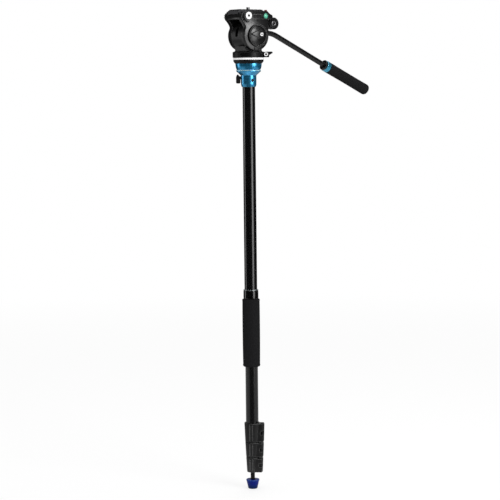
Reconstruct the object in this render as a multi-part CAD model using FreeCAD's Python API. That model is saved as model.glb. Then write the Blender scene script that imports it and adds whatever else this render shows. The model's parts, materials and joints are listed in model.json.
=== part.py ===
import FreeCAD, Part
import math
import os

from FreeCAD import Vector

# Video monopod with a levelling half ball, a small fluid head and a pan bar. Millimetres.
# The origin is the centre of the foot's sole. +Z is up, +X is the operator's side,
# -X is the lens side, -Y carries the drag dial and +Y carries the pan bar.

# Clearances
snug_gap = 0.02
running_gap = 0.05
free_gap = 0.3
edge_break = 0.6

# How far the pole's own fittings are turned about Z from the head's axes
pole_heading = -36.0

# Leg tubes, counted from the top
tube_radius_1 = 12.5
tube_wall = 1.0
slide_gap = 0.5
section_travel = 380.0
section_overlap = 90.0
bush_length = 30.0
top_section_end = 815.0

# Flip locks
lock_stack_base = 33.9
lower_lock_height = 30.3
upper_lock_height = 38.1
lock_spacing = 0.6
clamp_grip = 13.2
clamp_wall = 3.2
ear_reach = 11.8
ear_taper = 1.0
ear_half_width = 6.0
ear_inset = 1.0
ear_corner = 2.5
clamp_slit = 1.2
pin_inset = 5.1
pin_radius = 1.5
pin_head_radius = 2.9
pin_head_height = 1.6
pin_tail = 0.8
upper_pin_rise = 1.4
lower_pin_drop = 0.3
cam_radius = 3.9
cam_offset = 0.3
eye_radius = 3.0
eye_height = 7.0
bolt_radius = 1.6
nut_flats = 5.5
nut_height = 2.6
bolt_tail = 1.2
lever_wall = 2.4
lever_tip_reach = 6.7
lever_top_inset = 0.5
lever_bottom_inset = 1.2
lever_corner = 3.0
rib_radius = 0.7
rib_pitch = 5.3

# Foot
sole_radius = 7.6
foot_bottom_radius = 9.5
foot_top_radius = 13.2
foot_height = 18.4
foot_rim_height = 2.6
foot_socket_depth = 12.0
stem_radius = 4.3
plug_length = 26.0
plug_flange = 0.8

# Foam grip and its collar
grip_base = 247.2
grip_height = 135.8
grip_bottom_radius = 17.2
grip_top_radius = 17.5
grip_edge = 3.0
collar_height = 18.4
collar_radius = 14.75
collar_ring_height = 2.2
collar_edge = 1.8

# Levelling cup and half ball
cup_depth = 14.5
cup_radius = 15.3
cup_chamfer_height = 5.0
cup_chamfer = 1.5
cup_sleeve_height = 22.3
cup_flare_height = 8.0
cup_lip_height = 2.2
cup_rim_radius = 24.3
ball_radius = 26.0
ball_centre_rise = 12.5
ball_flat_drop = 25.0
ball_top_rise = 0.5
level_range = 12.0
seat_shell_wall = 2.0
seat_shell_reach = 8.0
seat_shell_bore = 3.0
set_screw_rise = 12.5
set_screw_radius = 3.0
set_screw_turn = -60.6

# Levelling lever
level_stud_rise = 17.5
level_stud_radius = 3.2
level_lever_start = 16.0
level_lever_depth = 8.7
level_lever_top = 7.0
level_lever_shoulder = 1.8
level_lever_brow = 5.3
level_lever_drop = 11.0
level_lever_half_width = 4.5
level_lever_tip = 2.3

# Head seat
ring_height = 7.0
ring_bottom_radius = 26.6
ring_top_radius = 29.6
ring_slope_height = 4.0
plate_ring_height = 4.0
plate_ring_radius = 30.0
pan_base_height = 11.6
pan_base_radius = 31.0
pan_base_chamfer = 1.2
panel_half_angle = 32.5
panel_depth = 1.0
panel_inset = 2.0
stud_radius = 4.7
stud_depth = 18.0
spindle_radius = 7.0
spindle_rise = 16.0
spindle_neck = 3.0

# Pan lock
pan_ear_reach = 40.4
pan_ear_half_width = 7.5
pan_screw_x = 34.4
pan_screw_rise = 6.2
pan_screw_radius = 2.4
pan_hub_radius = 4.0
pan_hub_length = 4.0
pan_wing_reach = 12.8
pan_wing_width = 6.4
pan_wing_rise = 5.2
pan_cap_radius = 3.7
pan_cap_height = 1.2
pan_cap_socket = 1.6

# Fluid head
tilt_axis_rise = 30.6
drum_radius = 28.3
drum_half_width = 17.0
flange_height = 1.2
flange_radius = 27.5
neck_half_length = 20.0
neck_height = 13.0
slot_half_width = 4.2
slot_bottom_drop = 2.2
slot_top_rise = 16.8
slot_depth = 9.0
axle_radius = 6.0

# Tilting cradle
cheek_radius = 28.6
cheek_width = 10.4
crown_waist_x = -24.4
crown_waist_rise = 16.3
crown_bow = 0.8
nose_x = -27.5
nose_drop = 11.3
nose_radius = 9.0
nose_wrap = 35.0
crown_front_x = -30.0
crown_rear_x = 38.0
rear_step_x = 25.5
rear_step_run = 3.6
rear_step_drop = 3.4
rear_end_drop = 6.5
platform_rise = 47.1
platform_thickness = 15.3
rear_round = 4.0
rear_floor_round = 3.0
side_rail_width = 1.8
boss_radius = 10.5
boss_length = 3.0
qr_bolt_x = -21.9
qr_bolt_drop = 9.1
qr_bolt_radius = 1.3
qr_head_radius = 7.0
qr_head_height = 1.6
qr_head_socket = 1.7
groove_start_x = -12.0
groove_end_x = 13.0
groove_height = 5.0
groove_depth = 1.5
vial_x = 21.0
vial_drop = 9.3
vial_radius = 5.25
bezel_radius = 6.2
bezel_height = 1.2
bezel_lap = 0.2
button_x = 25.0
button_y = -24.0
button_radius = 2.8
button_rise = 2.7
button_travel = 1.8
button_depth = 6.0

# Rosettes for the pan bar
rosette_x = 45.2
rosette_drop = 23.2
rosette_radius = 11.5
rosette_inner = 11.0
rosette_width = 13.0
rosette_disc = 3.0
rosette_bolt_radius = 3.0
tooth_count = 24
tooth_height = 0.9
tooth_root_radius = 6.2
rosette_sleeve_radius = 5.35
rosette_arm_angle = 60.0

# Drag dial and the far cap
dial_ring_radius = 21.5
dial_ring_inner = 18.5
dial_ring_face = 34.5
dial_recess = 1.5
dial_floor = 1.0
wedge_x = 3.5
wedge_rise = 3.0
wedge_radius = 8.6
wedge_tip_radius = 2.2
wedge_length = 18.6
wedge_height = 3.2
wedge_draft = 1.4
dial_cap_x = 6.0
dial_cap_rise = 2.2
dial_cap_radius = 3.4
dial_cap_height = 0.8
dial_cap_socket = 1.3
far_cap_face = 32.5
lug_front_x = -5.1
lug_rear_x = 8.7
lug_height = 7.0
lug_width = 2.3
tilt_hub_radius = 9.0
tilt_hub_length = 6.0
tilt_arm_reach = 24.0
tilt_arm_width = 7.0
tilt_arm_thickness = 4.0

# Quick release
channel_depth = 5.9
plate_front_x = -36.0
plate_rear_x = 26.0
plate_foot_half_width = 19.5
plate_foot_height = 1.8
plate_bevel = 1.8
plate_proud = 1.5
plate_corner = 4.0
pad_height = 2.2
pad_inset = 1.4
pad_rib_count = 6
pad_rib_height = 0.5
screw_radius = 3.175
screw_proud = 4.5
screw_neck_radius = 2.4
screw_head_radius = 8.0
screw_head_height = 2.2
jaw_front_x = -28.5
jaw_rear_x = 4.0
jaw_width = 5.0
jaw_travel = 1.5
knob_radius = 8.0
knob_length = 9.0
knob_flutes = 12
knob_flute_radius = 1.3

# Pan bar
bar_hub_width = 9.0
bar_hub_radius = 11.5
bar_radius = 5.25
bar_socket_radius = 8.2
bar_socket_drop = 16.8
bar_socket_length = 22.0
bar_straight = 19.2
bar_bend_radius = 60.0
bar_bend_angle = 25.7
bar_lower_length = 132.0
bar_rib_angle = 36.87
bar_in_handle = 89.6
handle_lip_radius = 10.5
handle_lip_length = 4.5
handle_ring_radius = 11.25
handle_ring_length = 9.5
handle_length = 112.0
handle_radius = 11.25
handle_tip_curve = 7.9
bar_knob_radius = 9.5
bar_knob_length = 12.0
bar_knob_lobes = 8

# Small distance used where a cutter has to pass right through
over = 1.0

# Heights that follow from the sizes above, from the cup upwards
cup_base = top_section_end - cup_depth
cup_shoulder_z = cup_base + cup_sleeve_height
cup_flare_z = cup_shoulder_z + cup_flare_height
cup_rim_z = cup_flare_z + cup_lip_height
set_screw_z = cup_base + set_screw_rise
level_stud_z = cup_base + level_stud_rise
ball_centre_z = cup_rim_z + ball_centre_rise
ball_flat_z = ball_centre_z - ball_flat_drop
ring_base_z = ball_centre_z + ball_top_rise
base_plate_z = ring_base_z + ring_height
pan_bottom_z = base_plate_z + plate_ring_height
pan_top_z = pan_bottom_z + pan_base_height
pan_screw_z = pan_bottom_z + pan_screw_rise
tilt_axis_z = pan_top_z + tilt_axis_rise
platform_top_z = tilt_axis_z + platform_rise
platform_floor_z = platform_top_z - platform_thickness
channel_floor_z = platform_top_z - channel_depth
plate_base_z = channel_floor_z + running_gap
plate_top_z = platform_top_z + plate_proud
qr_bolt_z = platform_top_z - qr_bolt_drop
vial_z = platform_top_z - vial_drop
nose_z = platform_top_z - nose_drop
rear_end_z = platform_top_z - rear_end_drop
rosette_z = platform_top_z - rosette_drop

# Distances from the head's middle plane that follow from the sizes above
cheek_inner = drum_half_width + free_gap
cheek_outer = cheek_inner + cheek_width
rail_face = cheek_outer + side_rail_width
boss_face = rail_face + boss_length
rosette_back = rosette_inner + rosette_width - rosette_disc - tooth_height
bar_face = rosette_inner + rosette_width + tooth_height


def plane_point(plane, u, v):
    # A point of a flat outline in the plane that two letters name
    if plane == "xy":
        return Vector(u, v, 0)
    if plane == "xz":
        return Vector(u, 0, v)
    return Vector(0, u, v)


def outline(plane, *path):
    # A closed face. Each entry is a corner (u, v) or an arc's middle and end (mu, mv, eu, ev).
    here = plane_point(plane, *path[0])
    first = here
    edges = []
    for step in path[1:]:
        end = plane_point(plane, *step[-2:])
        if len(step) == 4:
            edges.append(Part.Arc(here, plane_point(plane, *step[:2]), end).toShape())
        else:
            edges.append(Part.LineSegment(here, end).toShape())
        here = end
    if here.distanceToPoint(first) > 1e-6:
        edges.append(Part.LineSegment(here, first).toShape())
    return Part.Face(Part.Wire(edges))


def round_rect(plane, u0, u1, v0, v1, radius):
    # A rectangle whose four corners are quarter arcs
    bow = radius * (1 - math.sqrt(0.5))
    return outline(
        plane,
        (u0 + radius, v0),
        (u1 - radius, v0),
        (u1 - bow, v0 + bow, u1, v0 + radius),
        (u1, v1 - radius),
        (u1 - bow, v1 - bow, u1 - radius, v1),
        (u0 + radius, v1),
        (u0 + bow, v1 - bow, u0, v1 - radius),
        (u0, v0 + radius),
        (u0 + bow, v0 + bow, u0 + radius, v0),
    )


def turned(*path):
    # A solid of revolution about Z from an outline of (radius, height) points
    return outline("xz", *path).revolve(Vector(0, 0, 0), Vector(0, 0, 1), 360)


def bored(solid, radius, z0, z1):
    # The solid with an upright hole through it between two heights
    return solid.cut(Part.makeCylinder(radius, z1 - z0, Vector(0, 0, z0)))


def tube(outer, inner, z0, z1):
    return bored(Part.makeCylinder(outer, z1 - z0, Vector(0, 0, z0)), inner, z0 - over, z1 + over)


def box(x0, x1, y0, y1, z0, z1):
    return Part.makeBox(x1 - x0, y1 - y0, z1 - z0, Vector(x0, y0, z0))


def cross_rod(radius, x, y0, y1, z):
    # A round bar that lies along Y
    return Part.makeCylinder(radius, y1 - y0, Vector(x, y0, z), Vector(0, 1, 0))


def on_pole(shape):
    # Turns a fitting from the pole's own heading to the head's axes
    turned_shape = shape.copy()
    turned_shape.rotate(Vector(0, 0, 0), Vector(0, 0, 1), pole_heading)
    return turned_shape


def mirrored(shape):
    # The same piece on the other side of the head's middle plane
    return shape.mirror(Vector(0, 0, 0), Vector(0, 1, 0))


def clean(shape):
    return shape.removeSplitter()


def save(name, *solids):
    # One file for each node, with its separate solids side by side
    shape = solids[0] if len(solids) == 1 else Part.makeCompound(list(solids))
    shape.exportStep("parts/" + name + ".step")


# Leg sections


def leg_layout():
    # For each flip lock from the top: its height range, the seat of the tube that it is
    # fixed to, and the radii of that tube and of the one that it grips
    base = lock_stack_base
    locks = []
    for index in (2, 1, 0):
        height = upper_lock_height if index == 0 else lower_lock_height
        parent = tube_radius_1 - index * (tube_wall + slide_gap)
        locks.append(
            {
                "bottom": base,
                "top": base + height,
                "seat": base + clamp_grip,
                "parent": parent,
                "child": parent - tube_wall - slide_gap,
                "uppermost": index == 0,
            }
        )
        base += height + lock_spacing
    return locks[::-1]


def leg_tube(radius, bottom, top):
    return tube(radius, radius - tube_wall, bottom, top)


def guide_bush(radius, top):
    # A thin sleeve round the top of an inner tube, which runs inside the tube above
    outer = radius + slide_gap - running_gap
    return tube(outer, radius + snug_gap, top - bush_length, top)


def lock_cone(lock, growth):
    # The lock's tapered outside, thickened by a growth
    return Part.makeCone(
        lock["child"] + clamp_wall + growth,
        lock["parent"] + clamp_wall + growth,
        lock["top"] - lock["bottom"],
        Vector(0, 0, lock["bottom"]),
    )


def lock_places(lock):
    # Where the lever's pin stands, and the middle height of the bolt
    pin_x = lock["parent"] + ear_reach - pin_inset
    pin_y = -(ear_half_width + free_gap + cam_radius + cam_offset)
    middle = (lock["bottom"] + lock["top"]) / 2
    rise = upper_pin_rise if lock["uppermost"] else -lower_pin_drop
    return pin_x, pin_y, middle, lock["top"] + rise


def lock_clamp(lock):
    # A split collar: fixed to the upper tube, it grips the lower one when its ears are drawn in
    low = lock["child"] + clamp_wall
    high = lock["parent"] + clamp_wall
    bore = lock["parent"] + snug_gap
    grip_bore = lock["child"] + running_gap
    collar = turned(
        (grip_bore, lock["bottom"]),
        (low - edge_break, lock["bottom"]),
        (low, lock["bottom"] + edge_break),
        (high, lock["top"] - edge_break),
        (high - edge_break, lock["top"]),
        (bore, lock["top"]),
        (bore, lock["seat"]),
        (grip_bore, lock["seat"]),
    )
    reach = lock["parent"] + ear_reach
    z0 = lock["bottom"] + ear_inset
    z1 = lock["top"] - ear_inset
    bow = ear_corner * (1 - math.sqrt(0.5))
    low_reach = reach - ear_taper
    side = outline(
        "xz",
        (lock["parent"], z0),
        (low_reach - ear_corner, z0),
        (low_reach - bow, z0 + bow, low_reach, z0 + ear_corner),
        (reach, z1 - ear_corner),
        (reach - bow, z1 - bow, reach - ear_corner, z1),
        (lock["parent"], z1),
    )
    ears = side.extrude(Vector(0, 2 * ear_half_width, 0))
    ears.translate(Vector(0, -ear_half_width, 0))
    ears = bored(ears, high - clamp_wall / 2, z0 - over, z1 + over)
    clamp = collar.fuse(ears)
    slit_half = clamp_slit / 2
    clamp = clamp.cut(box(0, reach + over, -slit_half, slit_half, lock["bottom"] - over, lock["top"] + over))
    pin_x, pin_y, middle, pin_top = lock_places(lock)
    hole = cross_rod(bolt_radius + free_gap, pin_x, -reach, reach, middle)
    return clean(clamp.cut(hole))


def lock_hardware(lock):
    # The eye bolt through the ears with its nut, and the lever's upright pin
    pin_x, pin_y, middle, pin_top = lock_places(lock)
    nut_face = ear_half_width
    eye = Part.makeCylinder(eye_radius, eye_height, Vector(pin_x, pin_y, middle - eye_height / 2))
    shank = cross_rod(bolt_radius, pin_x, pin_y, nut_face + nut_height + bolt_tail, middle)
    bolt = bored_at(eye.fuse(shank), pin_radius + snug_gap, pin_x, pin_y, middle, eye_height)
    nut = hexagon(nut_flats, nut_height, bolt_radius + snug_gap)
    nut.rotate(Vector(0, 0, 0), Vector(1, 0, 0), -90)
    nut.translate(Vector(pin_x, nut_face, middle))
    pin_bottom = lock["bottom"] + lever_bottom_inset - pin_tail
    head_bottom = pin_top - pin_head_height
    pin = Part.makeCylinder(pin_radius, head_bottom - pin_bottom, Vector(pin_x, pin_y, pin_bottom))
    head = turned(
        (0, head_bottom),
        (pin_head_radius, head_bottom),
        (pin_head_radius, pin_top - edge_break),
        (pin_head_radius - edge_break, pin_top),
        (0, pin_top),
    )
    head.translate(Vector(pin_x, pin_y, 0))
    return bolt, nut, clean(pin.fuse(head))


def bored_at(solid, radius, x, y, middle, length):
    # The solid with an upright hole through (x, y), longer than a length at both ends
    tall = length + 2 * over
    return solid.cut(Part.makeCylinder(radius, tall, Vector(x, y, middle - tall / 2)))


def hexagon(flats, height, bore):
    # An upright hexagonal nut
    corner = flats / math.sqrt(3)
    turn = math.pi / 3
    points = [Vector(corner * math.cos(i * turn), corner * math.sin(i * turn), 0) for i in range(7)]
    nut = Part.Face(Part.makePolygon(points)).extrude(Vector(0, 0, height))
    return bored(nut, bore, -over, height + over)


def lock_lever(lock):
    # A curved panel round the collar's front, with forked knuckles and an eccentric cam
    pin_x, pin_y, middle, pin_top = lock_places(lock)
    z0 = lock["bottom"]
    z1 = lock["top"]
    gap = free_gap + running_gap
    inner = lock_cone(lock, gap)
    shell = lock_cone(lock, gap + lever_wall).cut(inner)
    behind = box(-over - pin_x, 2 * pin_x, -ear_half_width - free_gap, 2 * pin_x, z0 - over, z1 + over)
    shell = shell.cut(behind)
    web_front = pin_y + cam_offset - cam_radius
    web = box(lock["child"] / 2, pin_x, web_front, pin_y + over, z0, z1).cut(inner)
    cam = Part.makeCylinder(cam_radius, z1 - z0, Vector(pin_x, pin_y + cam_offset, z0))
    top = z1 - lever_top_inset
    bottom = z0 + lever_bottom_inset
    face = round_rect("xz", -lever_tip_reach, pin_x + cam_radius, bottom, top, lever_corner)
    window = face.extrude(Vector(0, -2 * pin_x, 0))
    lever = shell.fuse(web).fuse(cam).common(window)
    for step in (0, 1):
        x = rib_pitch * step - lever_tip_reach + 2 * rib_radius
        lever = lever.fuse(finger_rib(lock, x, gap + lever_wall))
    eye_room = eye_radius + free_gap
    eye_half = eye_height / 2 + free_gap
    slot = box(pin_x - eye_room, 2 * pin_x, -2 * pin_x, 0, middle - eye_half, middle + eye_half)
    lever = lever.cut(slot)
    lever = bored_at(lever, pin_radius + running_gap, pin_x, pin_y, middle, z1 - z0)
    head_room = Part.makeCylinder(
        2 * cam_radius, z1 - z0, Vector(pin_x, pin_y, pin_top - pin_head_height - running_gap)
    )
    return clean(lever.cut(head_room))


def finger_rib(lock, x, growth):
    # A raised line on the lever's panel that leans with the lock's taper
    low = lock["child"] + clamp_wall + growth
    high = lock["parent"] + clamp_wall + growth
    bottom = lock["bottom"] + lever_bottom_inset + lever_corner
    top = lock["top"] - lever_top_inset - lever_corner
    start = Vector(x, -math.sqrt(low ** 2 - x ** 2), bottom)
    end = Vector(x, -math.sqrt(high ** 2 - x ** 2), top)
    return Part.makeCylinder(rib_radius, (end - start).Length, start, end - start)


def save_leg():
    # The four tubes with their bushes and flip locks, and the foot under the last
    locks = leg_layout()
    save("upper_tube", leg_tube(tube_radius_1, locks[0]["seat"], top_section_end))
    ends = [lock["seat"] for lock in locks[1:]] + [lock_stack_base + plug_flange]
    for number, lock in enumerate(locks, start=1):
        save("lock_%d_clamp" % number, on_pole(lock_clamp(lock)))
        save("lock_%d_hardware" % number, *[on_pole(piece) for piece in lock_hardware(lock)])
        save("lock_%d_lever" % number, on_pole(lock_lever(lock)))
        inner_top = lock["seat"] + section_travel + section_overlap
        save("leg_tube_%d" % (number + 1), leg_tube(lock["child"], ends[number - 1], inner_top))
        save("leg_%d_bush" % (number + 1), guide_bush(lock["child"], inner_top))


def save_foot():
    locks = leg_layout()
    inner = locks[-1]["child"]
    bore = inner - tube_wall - snug_gap
    flange_top = lock_stack_base + plug_flange
    plug = turned(
        (stem_radius + snug_gap, lock_stack_base),
        (inner - running_gap, lock_stack_base),
        (inner - running_gap, flange_top),
        (bore, flange_top),
        (bore, flange_top + plug_length),
        (stem_radius + snug_gap, flange_top + plug_length),
    )
    socket = foot_height - foot_socket_depth
    stem = turned(
        (0, socket),
        (stem_radius, socket),
        (stem_radius, flange_top + plug_length),
        (0, flange_top + plug_length),
    )
    neck = stem_radius + snug_gap
    curve = foot_bottom_radius - sole_radius
    rim = foot_height - foot_rim_height
    pad = turned(
        (0, 0),
        (sole_radius, 0),
        (sole_radius + curve * math.sqrt(0.5), curve * (1 - math.sqrt(0.5)), foot_bottom_radius, curve),
        (foot_top_radius - edge_break, rim),
        (foot_top_radius, rim + edge_break),
        (foot_top_radius, foot_height - edge_break),
        (foot_top_radius - edge_break, foot_height),
        (neck, foot_height),
        (neck, socket),
        (0, socket),
    )
    save("foot_plug", plug)
    save("foot_stem", stem)
    save("foot_pad", pad)


def save_grip():
    # The foam sleeve and the glossy collar above it
    bore = tube_radius_1 + snug_gap
    top = grip_base + grip_height
    bow = grip_edge * (1 - math.sqrt(0.5))
    sleeve = turned(
        (bore, grip_base),
        (grip_bottom_radius - grip_edge, grip_base),
        (grip_bottom_radius - bow, grip_base + bow, grip_bottom_radius, grip_base + grip_edge),
        (grip_top_radius, top - grip_edge),
        (grip_top_radius - bow, top - bow, grip_top_radius - grip_edge, top),
        (bore, top),
    )
    collar_top = top + collar_height
    ring = collar_top - collar_ring_height
    dip = collar_edge * (1 - math.sqrt(0.5))
    collar = turned(
        (bore, top),
        (collar_radius - collar_edge, top),
        (collar_radius - dip, top + dip, collar_radius, top + collar_edge),
        (collar_radius, ring - edge_break),
        (collar_radius - edge_break, ring),
        (collar_radius, ring + edge_break),
        (collar_radius - edge_break, collar_top),
        (bore, collar_top),
    )
    save("grip_sleeve", sleeve)
    save("grip_collar", collar)


# Levelling cup, half ball and head seat


def ball_at(radius):
    return Part.makeSphere(radius, Vector(0, 0, ball_centre_z))


def level_cup():
    # A socket on the tube's end whose inside follows the half ball
    bore = tube_radius_1 + snug_gap
    chamfer_top = cup_base + cup_chamfer_height
    rim_run = cup_rim_z - cup_flare_z
    cup = turned(
        (0, top_section_end),
        (bore, top_section_end),
        (bore, cup_base),
        (cup_radius - cup_chamfer, cup_base),
        (cup_radius, chamfer_top),
        (cup_radius, cup_shoulder_z),
        (cup_rim_radius, cup_flare_z),
        (cup_rim_radius, cup_rim_z - rim_run / 2),
        (cup_rim_radius - rim_run / 2, cup_rim_z),
        (0, cup_rim_z),
    )
    swing = (ball_radius + seat_shell_wall) * math.sin(math.radians(level_range))
    well_radius = seat_shell_reach + swing + free_gap
    well = ball_at(ball_radius + seat_shell_wall + 2 * free_gap)
    well = well.common(Part.makeCylinder(well_radius, ball_radius, Vector(0, 0, top_section_end)))
    cup = cup.cut(ball_at(ball_radius + free_gap)).cut(well)
    tip_x = set_screw_radius + snug_gap
    hole = Part.makeCylinder(tip_x, cup_radius, Vector(tube_radius_1, 0, set_screw_z), Vector(1, 0, 0))
    hole.rotate(Vector(0, 0, 0), Vector(0, 0, 1), set_screw_turn)
    return clean(cup.cut(hole))


def collar_screw():
    # A socket grub screw that pins the cup to the tube
    length = cup_radius - tube_radius_1 - edge_break
    tip = Vector(tube_radius_1 + snug_gap, 0, set_screw_z)
    key_floor = Vector(tube_radius_1 + length / 2, 0, set_screw_z)
    screw = Part.makeCylinder(set_screw_radius, length, tip, Vector(1, 0, 0))
    screw = screw.cut(Part.makeCylinder(set_screw_radius / 2, length, key_floor, Vector(1, 0, 0)))
    screw.rotate(Vector(0, 0, 0), Vector(0, 0, 1), set_screw_turn)
    return screw


def ball_seat():
    # The brake shoe under the half ball, a thin dished ring
    inner = ball_radius + free_gap
    shell = ball_at(inner + seat_shell_wall).cut(ball_at(inner))
    shoe = shell.common(Part.makeCylinder(seat_shell_reach, ball_radius, Vector(0, 0, top_section_end)))
    return bored(shoe, seat_shell_bore, top_section_end, cup_rim_z)


def level_ball():
    top = ball_centre_z + ball_top_rise
    ball = ball_at(ball_radius).common(
        Part.makeCylinder(ball_radius, top - ball_flat_z, Vector(0, 0, ball_flat_z))
    )
    return bored(ball, stud_radius + snug_gap, top - stud_depth, top + over)


def ball_ring():
    return turned(
        (stud_radius + snug_gap, ring_base_z),
        (ring_bottom_radius, ring_base_z),
        (ring_top_radius, ring_base_z + ring_slope_height),
        (ring_top_radius, base_plate_z),
        (stud_radius + snug_gap, base_plate_z),
    )


def head_stud():
    bottom = ring_base_z - stud_depth
    top = pan_bottom_z + pan_base_height / 2
    return Part.makeCylinder(stud_radius, top - bottom, Vector(0, 0, bottom))


def base_plate():
    return turned(
        (stud_radius + snug_gap, base_plate_z),
        (plate_ring_radius - edge_break, base_plate_z),
        (plate_ring_radius, base_plate_z + edge_break),
        (plate_ring_radius, pan_bottom_z - edge_break),
        (plate_ring_radius - edge_break, pan_bottom_z),
        (stud_radius + snug_gap, pan_bottom_z),
    )


def pan_base():
    # The fixed base of the pan bearing, with a flat panel in front and split ears for its lock
    bottom = pan_bottom_z
    top = pan_top_z
    base = turned(
        (0, bottom),
        (pan_base_radius - pan_base_chamfer, bottom),
        (pan_base_radius, bottom + pan_base_chamfer),
        (pan_base_radius, top - pan_base_chamfer),
        (pan_base_radius - pan_base_chamfer, top),
        (0, top),
    )
    ear_top = pan_screw_z + pan_screw_radius + pan_base_chamfer * 2
    corner = pan_base_chamfer
    ears = round_rect("xz", pan_base_radius / 2, pan_ear_reach, bottom + edge_break, ear_top, corner)
    ears = ears.extrude(Vector(0, 2 * pan_ear_half_width, 0))
    ears.translate(Vector(0, -pan_ear_half_width, 0))
    base = base.fuse(ears)
    slit_half = clamp_slit / 2
    slit_start = pan_base_radius - pan_ear_half_width
    slit = box(slit_start, pan_ear_reach + over, -slit_half, slit_half, bottom - over, top + over)
    reach = pan_ear_reach
    screw_hole = cross_rod(pan_screw_radius + snug_gap, pan_screw_x, -reach, reach, pan_screw_z)
    base = base.cut(slit).cut(screw_hole)
    base = base.cut(front_panel(bottom, top))
    base = bored(base, stud_radius + snug_gap, bottom - over, bottom + pan_base_height / 2)
    spindle_seat = top - spindle_neck
    base = bored(base, spindle_radius + snug_gap, spindle_seat, top + over)
    return clean(base)


def front_panel(bottom, top):
    # The shallow band that is cut into the pan base on the side away from the operator
    sweep = 2 * panel_half_angle
    inner = pan_base_radius - panel_depth
    band = outline(
        "xz",
        (inner, bottom + panel_inset),
        (pan_base_radius + over, bottom + panel_inset),
        (pan_base_radius + over, top - panel_inset),
        (inner, top - panel_inset),
    )
    cutter = band.revolve(Vector(0, 0, 0), Vector(0, 0, 1), sweep)
    cutter.rotate(Vector(0, 0, 0), Vector(0, 0, 1), -90 - panel_half_angle)
    return cutter


def pan_spindle():
    return Part.makeCylinder(spindle_radius, spindle_rise, Vector(0, 0, pan_top_z - spindle_neck))


def pan_lever_pieces():
    # The screw through the pan base's ears with a wing to turn it, and its cap
    z = pan_screw_z
    start = -pan_ear_half_width - free_gap
    end = start - pan_hub_length
    hub = cross_rod(pan_hub_radius, pan_screw_x, end, start, z)
    half = pan_wing_width / 2
    tip = pan_screw_x + pan_wing_reach
    top = z + pan_wing_rise
    wing = outline(
        "xz",
        (pan_screw_x, z - pan_hub_radius + edge_break),
        (pan_screw_x + pan_hub_radius, z - pan_hub_radius + edge_break),
        (tip - half / 2, top - half - edge_break),
        (tip, top - half / 2, tip - half / 2, top),
        (pan_screw_x, top),
    )
    wing = wing.extrude(Vector(0, -pan_hub_length + edge_break, 0))
    wing.translate(Vector(0, start - edge_break / 2, 0))
    lever = hub.fuse(wing)
    shank = cross_rod(pan_screw_radius - running_gap, pan_screw_x, start, pan_ear_half_width, z)
    lever = lever.fuse(shank)
    front = end - pan_cap_height
    cap = cross_rod(pan_cap_radius, pan_screw_x, front, end, z)
    cap = cap.cut(cross_rod(pan_cap_socket, pan_screw_x, front - over, end - edge_break / 2, z))
    return clean(lever), cap


def level_lever():
    # The half ball's lock: a stud into the cup with a tapered finger that hangs beside it
    bottom = level_stud_z - level_lever_drop
    top = level_stud_z + level_lever_top
    half = level_lever_half_width
    inner = level_lever_start
    outer = inner + level_lever_depth
    tip_bow = level_lever_tip * (1 - math.sqrt(0.5))
    side = outline(
        "xz",
        (-inner, level_stud_z + level_lever_shoulder),
        (-inner - level_lever_brow, top),
        (edge_break * 2 - outer, top - level_lever_tip, -outer, level_stud_z),
        (-outer, bottom + level_lever_tip),
        (tip_bow - outer, bottom + tip_bow, level_lever_tip - outer, bottom),
        (-inner - level_lever_tip, bottom),
        (-inner - tip_bow, bottom + tip_bow, -inner, bottom + level_lever_tip),
    )
    finger = side.extrude(Vector(0, 2 * half, 0))
    finger.translate(Vector(0, -half, 0))
    stud = Part.makeCylinder(
        level_stud_radius, inner, Vector(-inner - half, 0, level_stud_z), Vector(1, 0, 0)
    )
    stud = stud.common(box(-outer, -tube_radius_1, -half, half, bottom, top))
    return clean(finger.fuse(stud))


def save_level():
    cup = on_pole(level_cup())
    hole_start = Vector(-tube_radius_1 - cup_radius, 0, level_stud_z)
    stud_hole = Part.makeCylinder(level_stud_radius + running_gap, cup_radius, hole_start, Vector(1, 0, 0))
    save("level_cup", clean(cup.cut(on_pole(stud_hole))))
    save("collar_screw", on_pole(collar_screw()))
    save("level_lever", on_pole(level_lever()))
    save("ball_seat", ball_seat())
    save("level_ball", level_ball())
    save("ball_ring", ball_ring())
    save("head_stud", head_stud())
    save("base_plate", base_plate())
    save("pan_base", on_pole(pan_base()))
    save("pan_spindle", pan_spindle())
    lever, cap = pan_lever_pieces()
    save("pan_lever", on_pole(lever))
    save("pan_lever_cap", on_pole(cap))


# Turning head


def head_body():
    # The drum that carries the tilt axle, on a round flange over the pan base
    bottom = pan_top_z + free_gap
    flange_top = bottom + flange_height
    flange = turned(
        (0, bottom),
        (flange_radius, bottom),
        (flange_radius, flange_top - edge_break),
        (flange_radius - edge_break, flange_top),
        (0, flange_top),
    )
    half = drum_half_width
    drum = cross_rod(drum_radius, 0, -half, half, tilt_axis_z)
    neck = box(-neck_half_length, neck_half_length, -half, half, flange_top, flange_top + neck_height)
    body = flange.fuse(drum).fuse(neck)
    slot_bottom = tilt_axis_z - slot_bottom_drop
    slot_top = tilt_axis_z + slot_top_rise
    slot = outline(
        "yz",
        (-slot_half_width, slot_top),
        (-slot_half_width, slot_bottom + slot_half_width),
        (0, slot_bottom, slot_half_width, slot_bottom + slot_half_width),
        (slot_half_width, slot_top),
    )
    slot = slot.extrude(Vector(slot_depth + over, 0, 0))
    slot.translate(Vector(-drum_radius - over, 0, 0))
    body = body.cut(slot)
    well_top = pan_top_z + spindle_rise - spindle_neck + free_gap
    body = bored(body, spindle_radius + running_gap, bottom - over, well_top)
    return clean(body.cut(cross_rod(axle_radius + snug_gap, 0, -half - over, half + over, tilt_axis_z)))


def tilt_axle():
    return cross_rod(axle_radius, 0, -cheek_outer, cheek_outer, tilt_axis_z)


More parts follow.
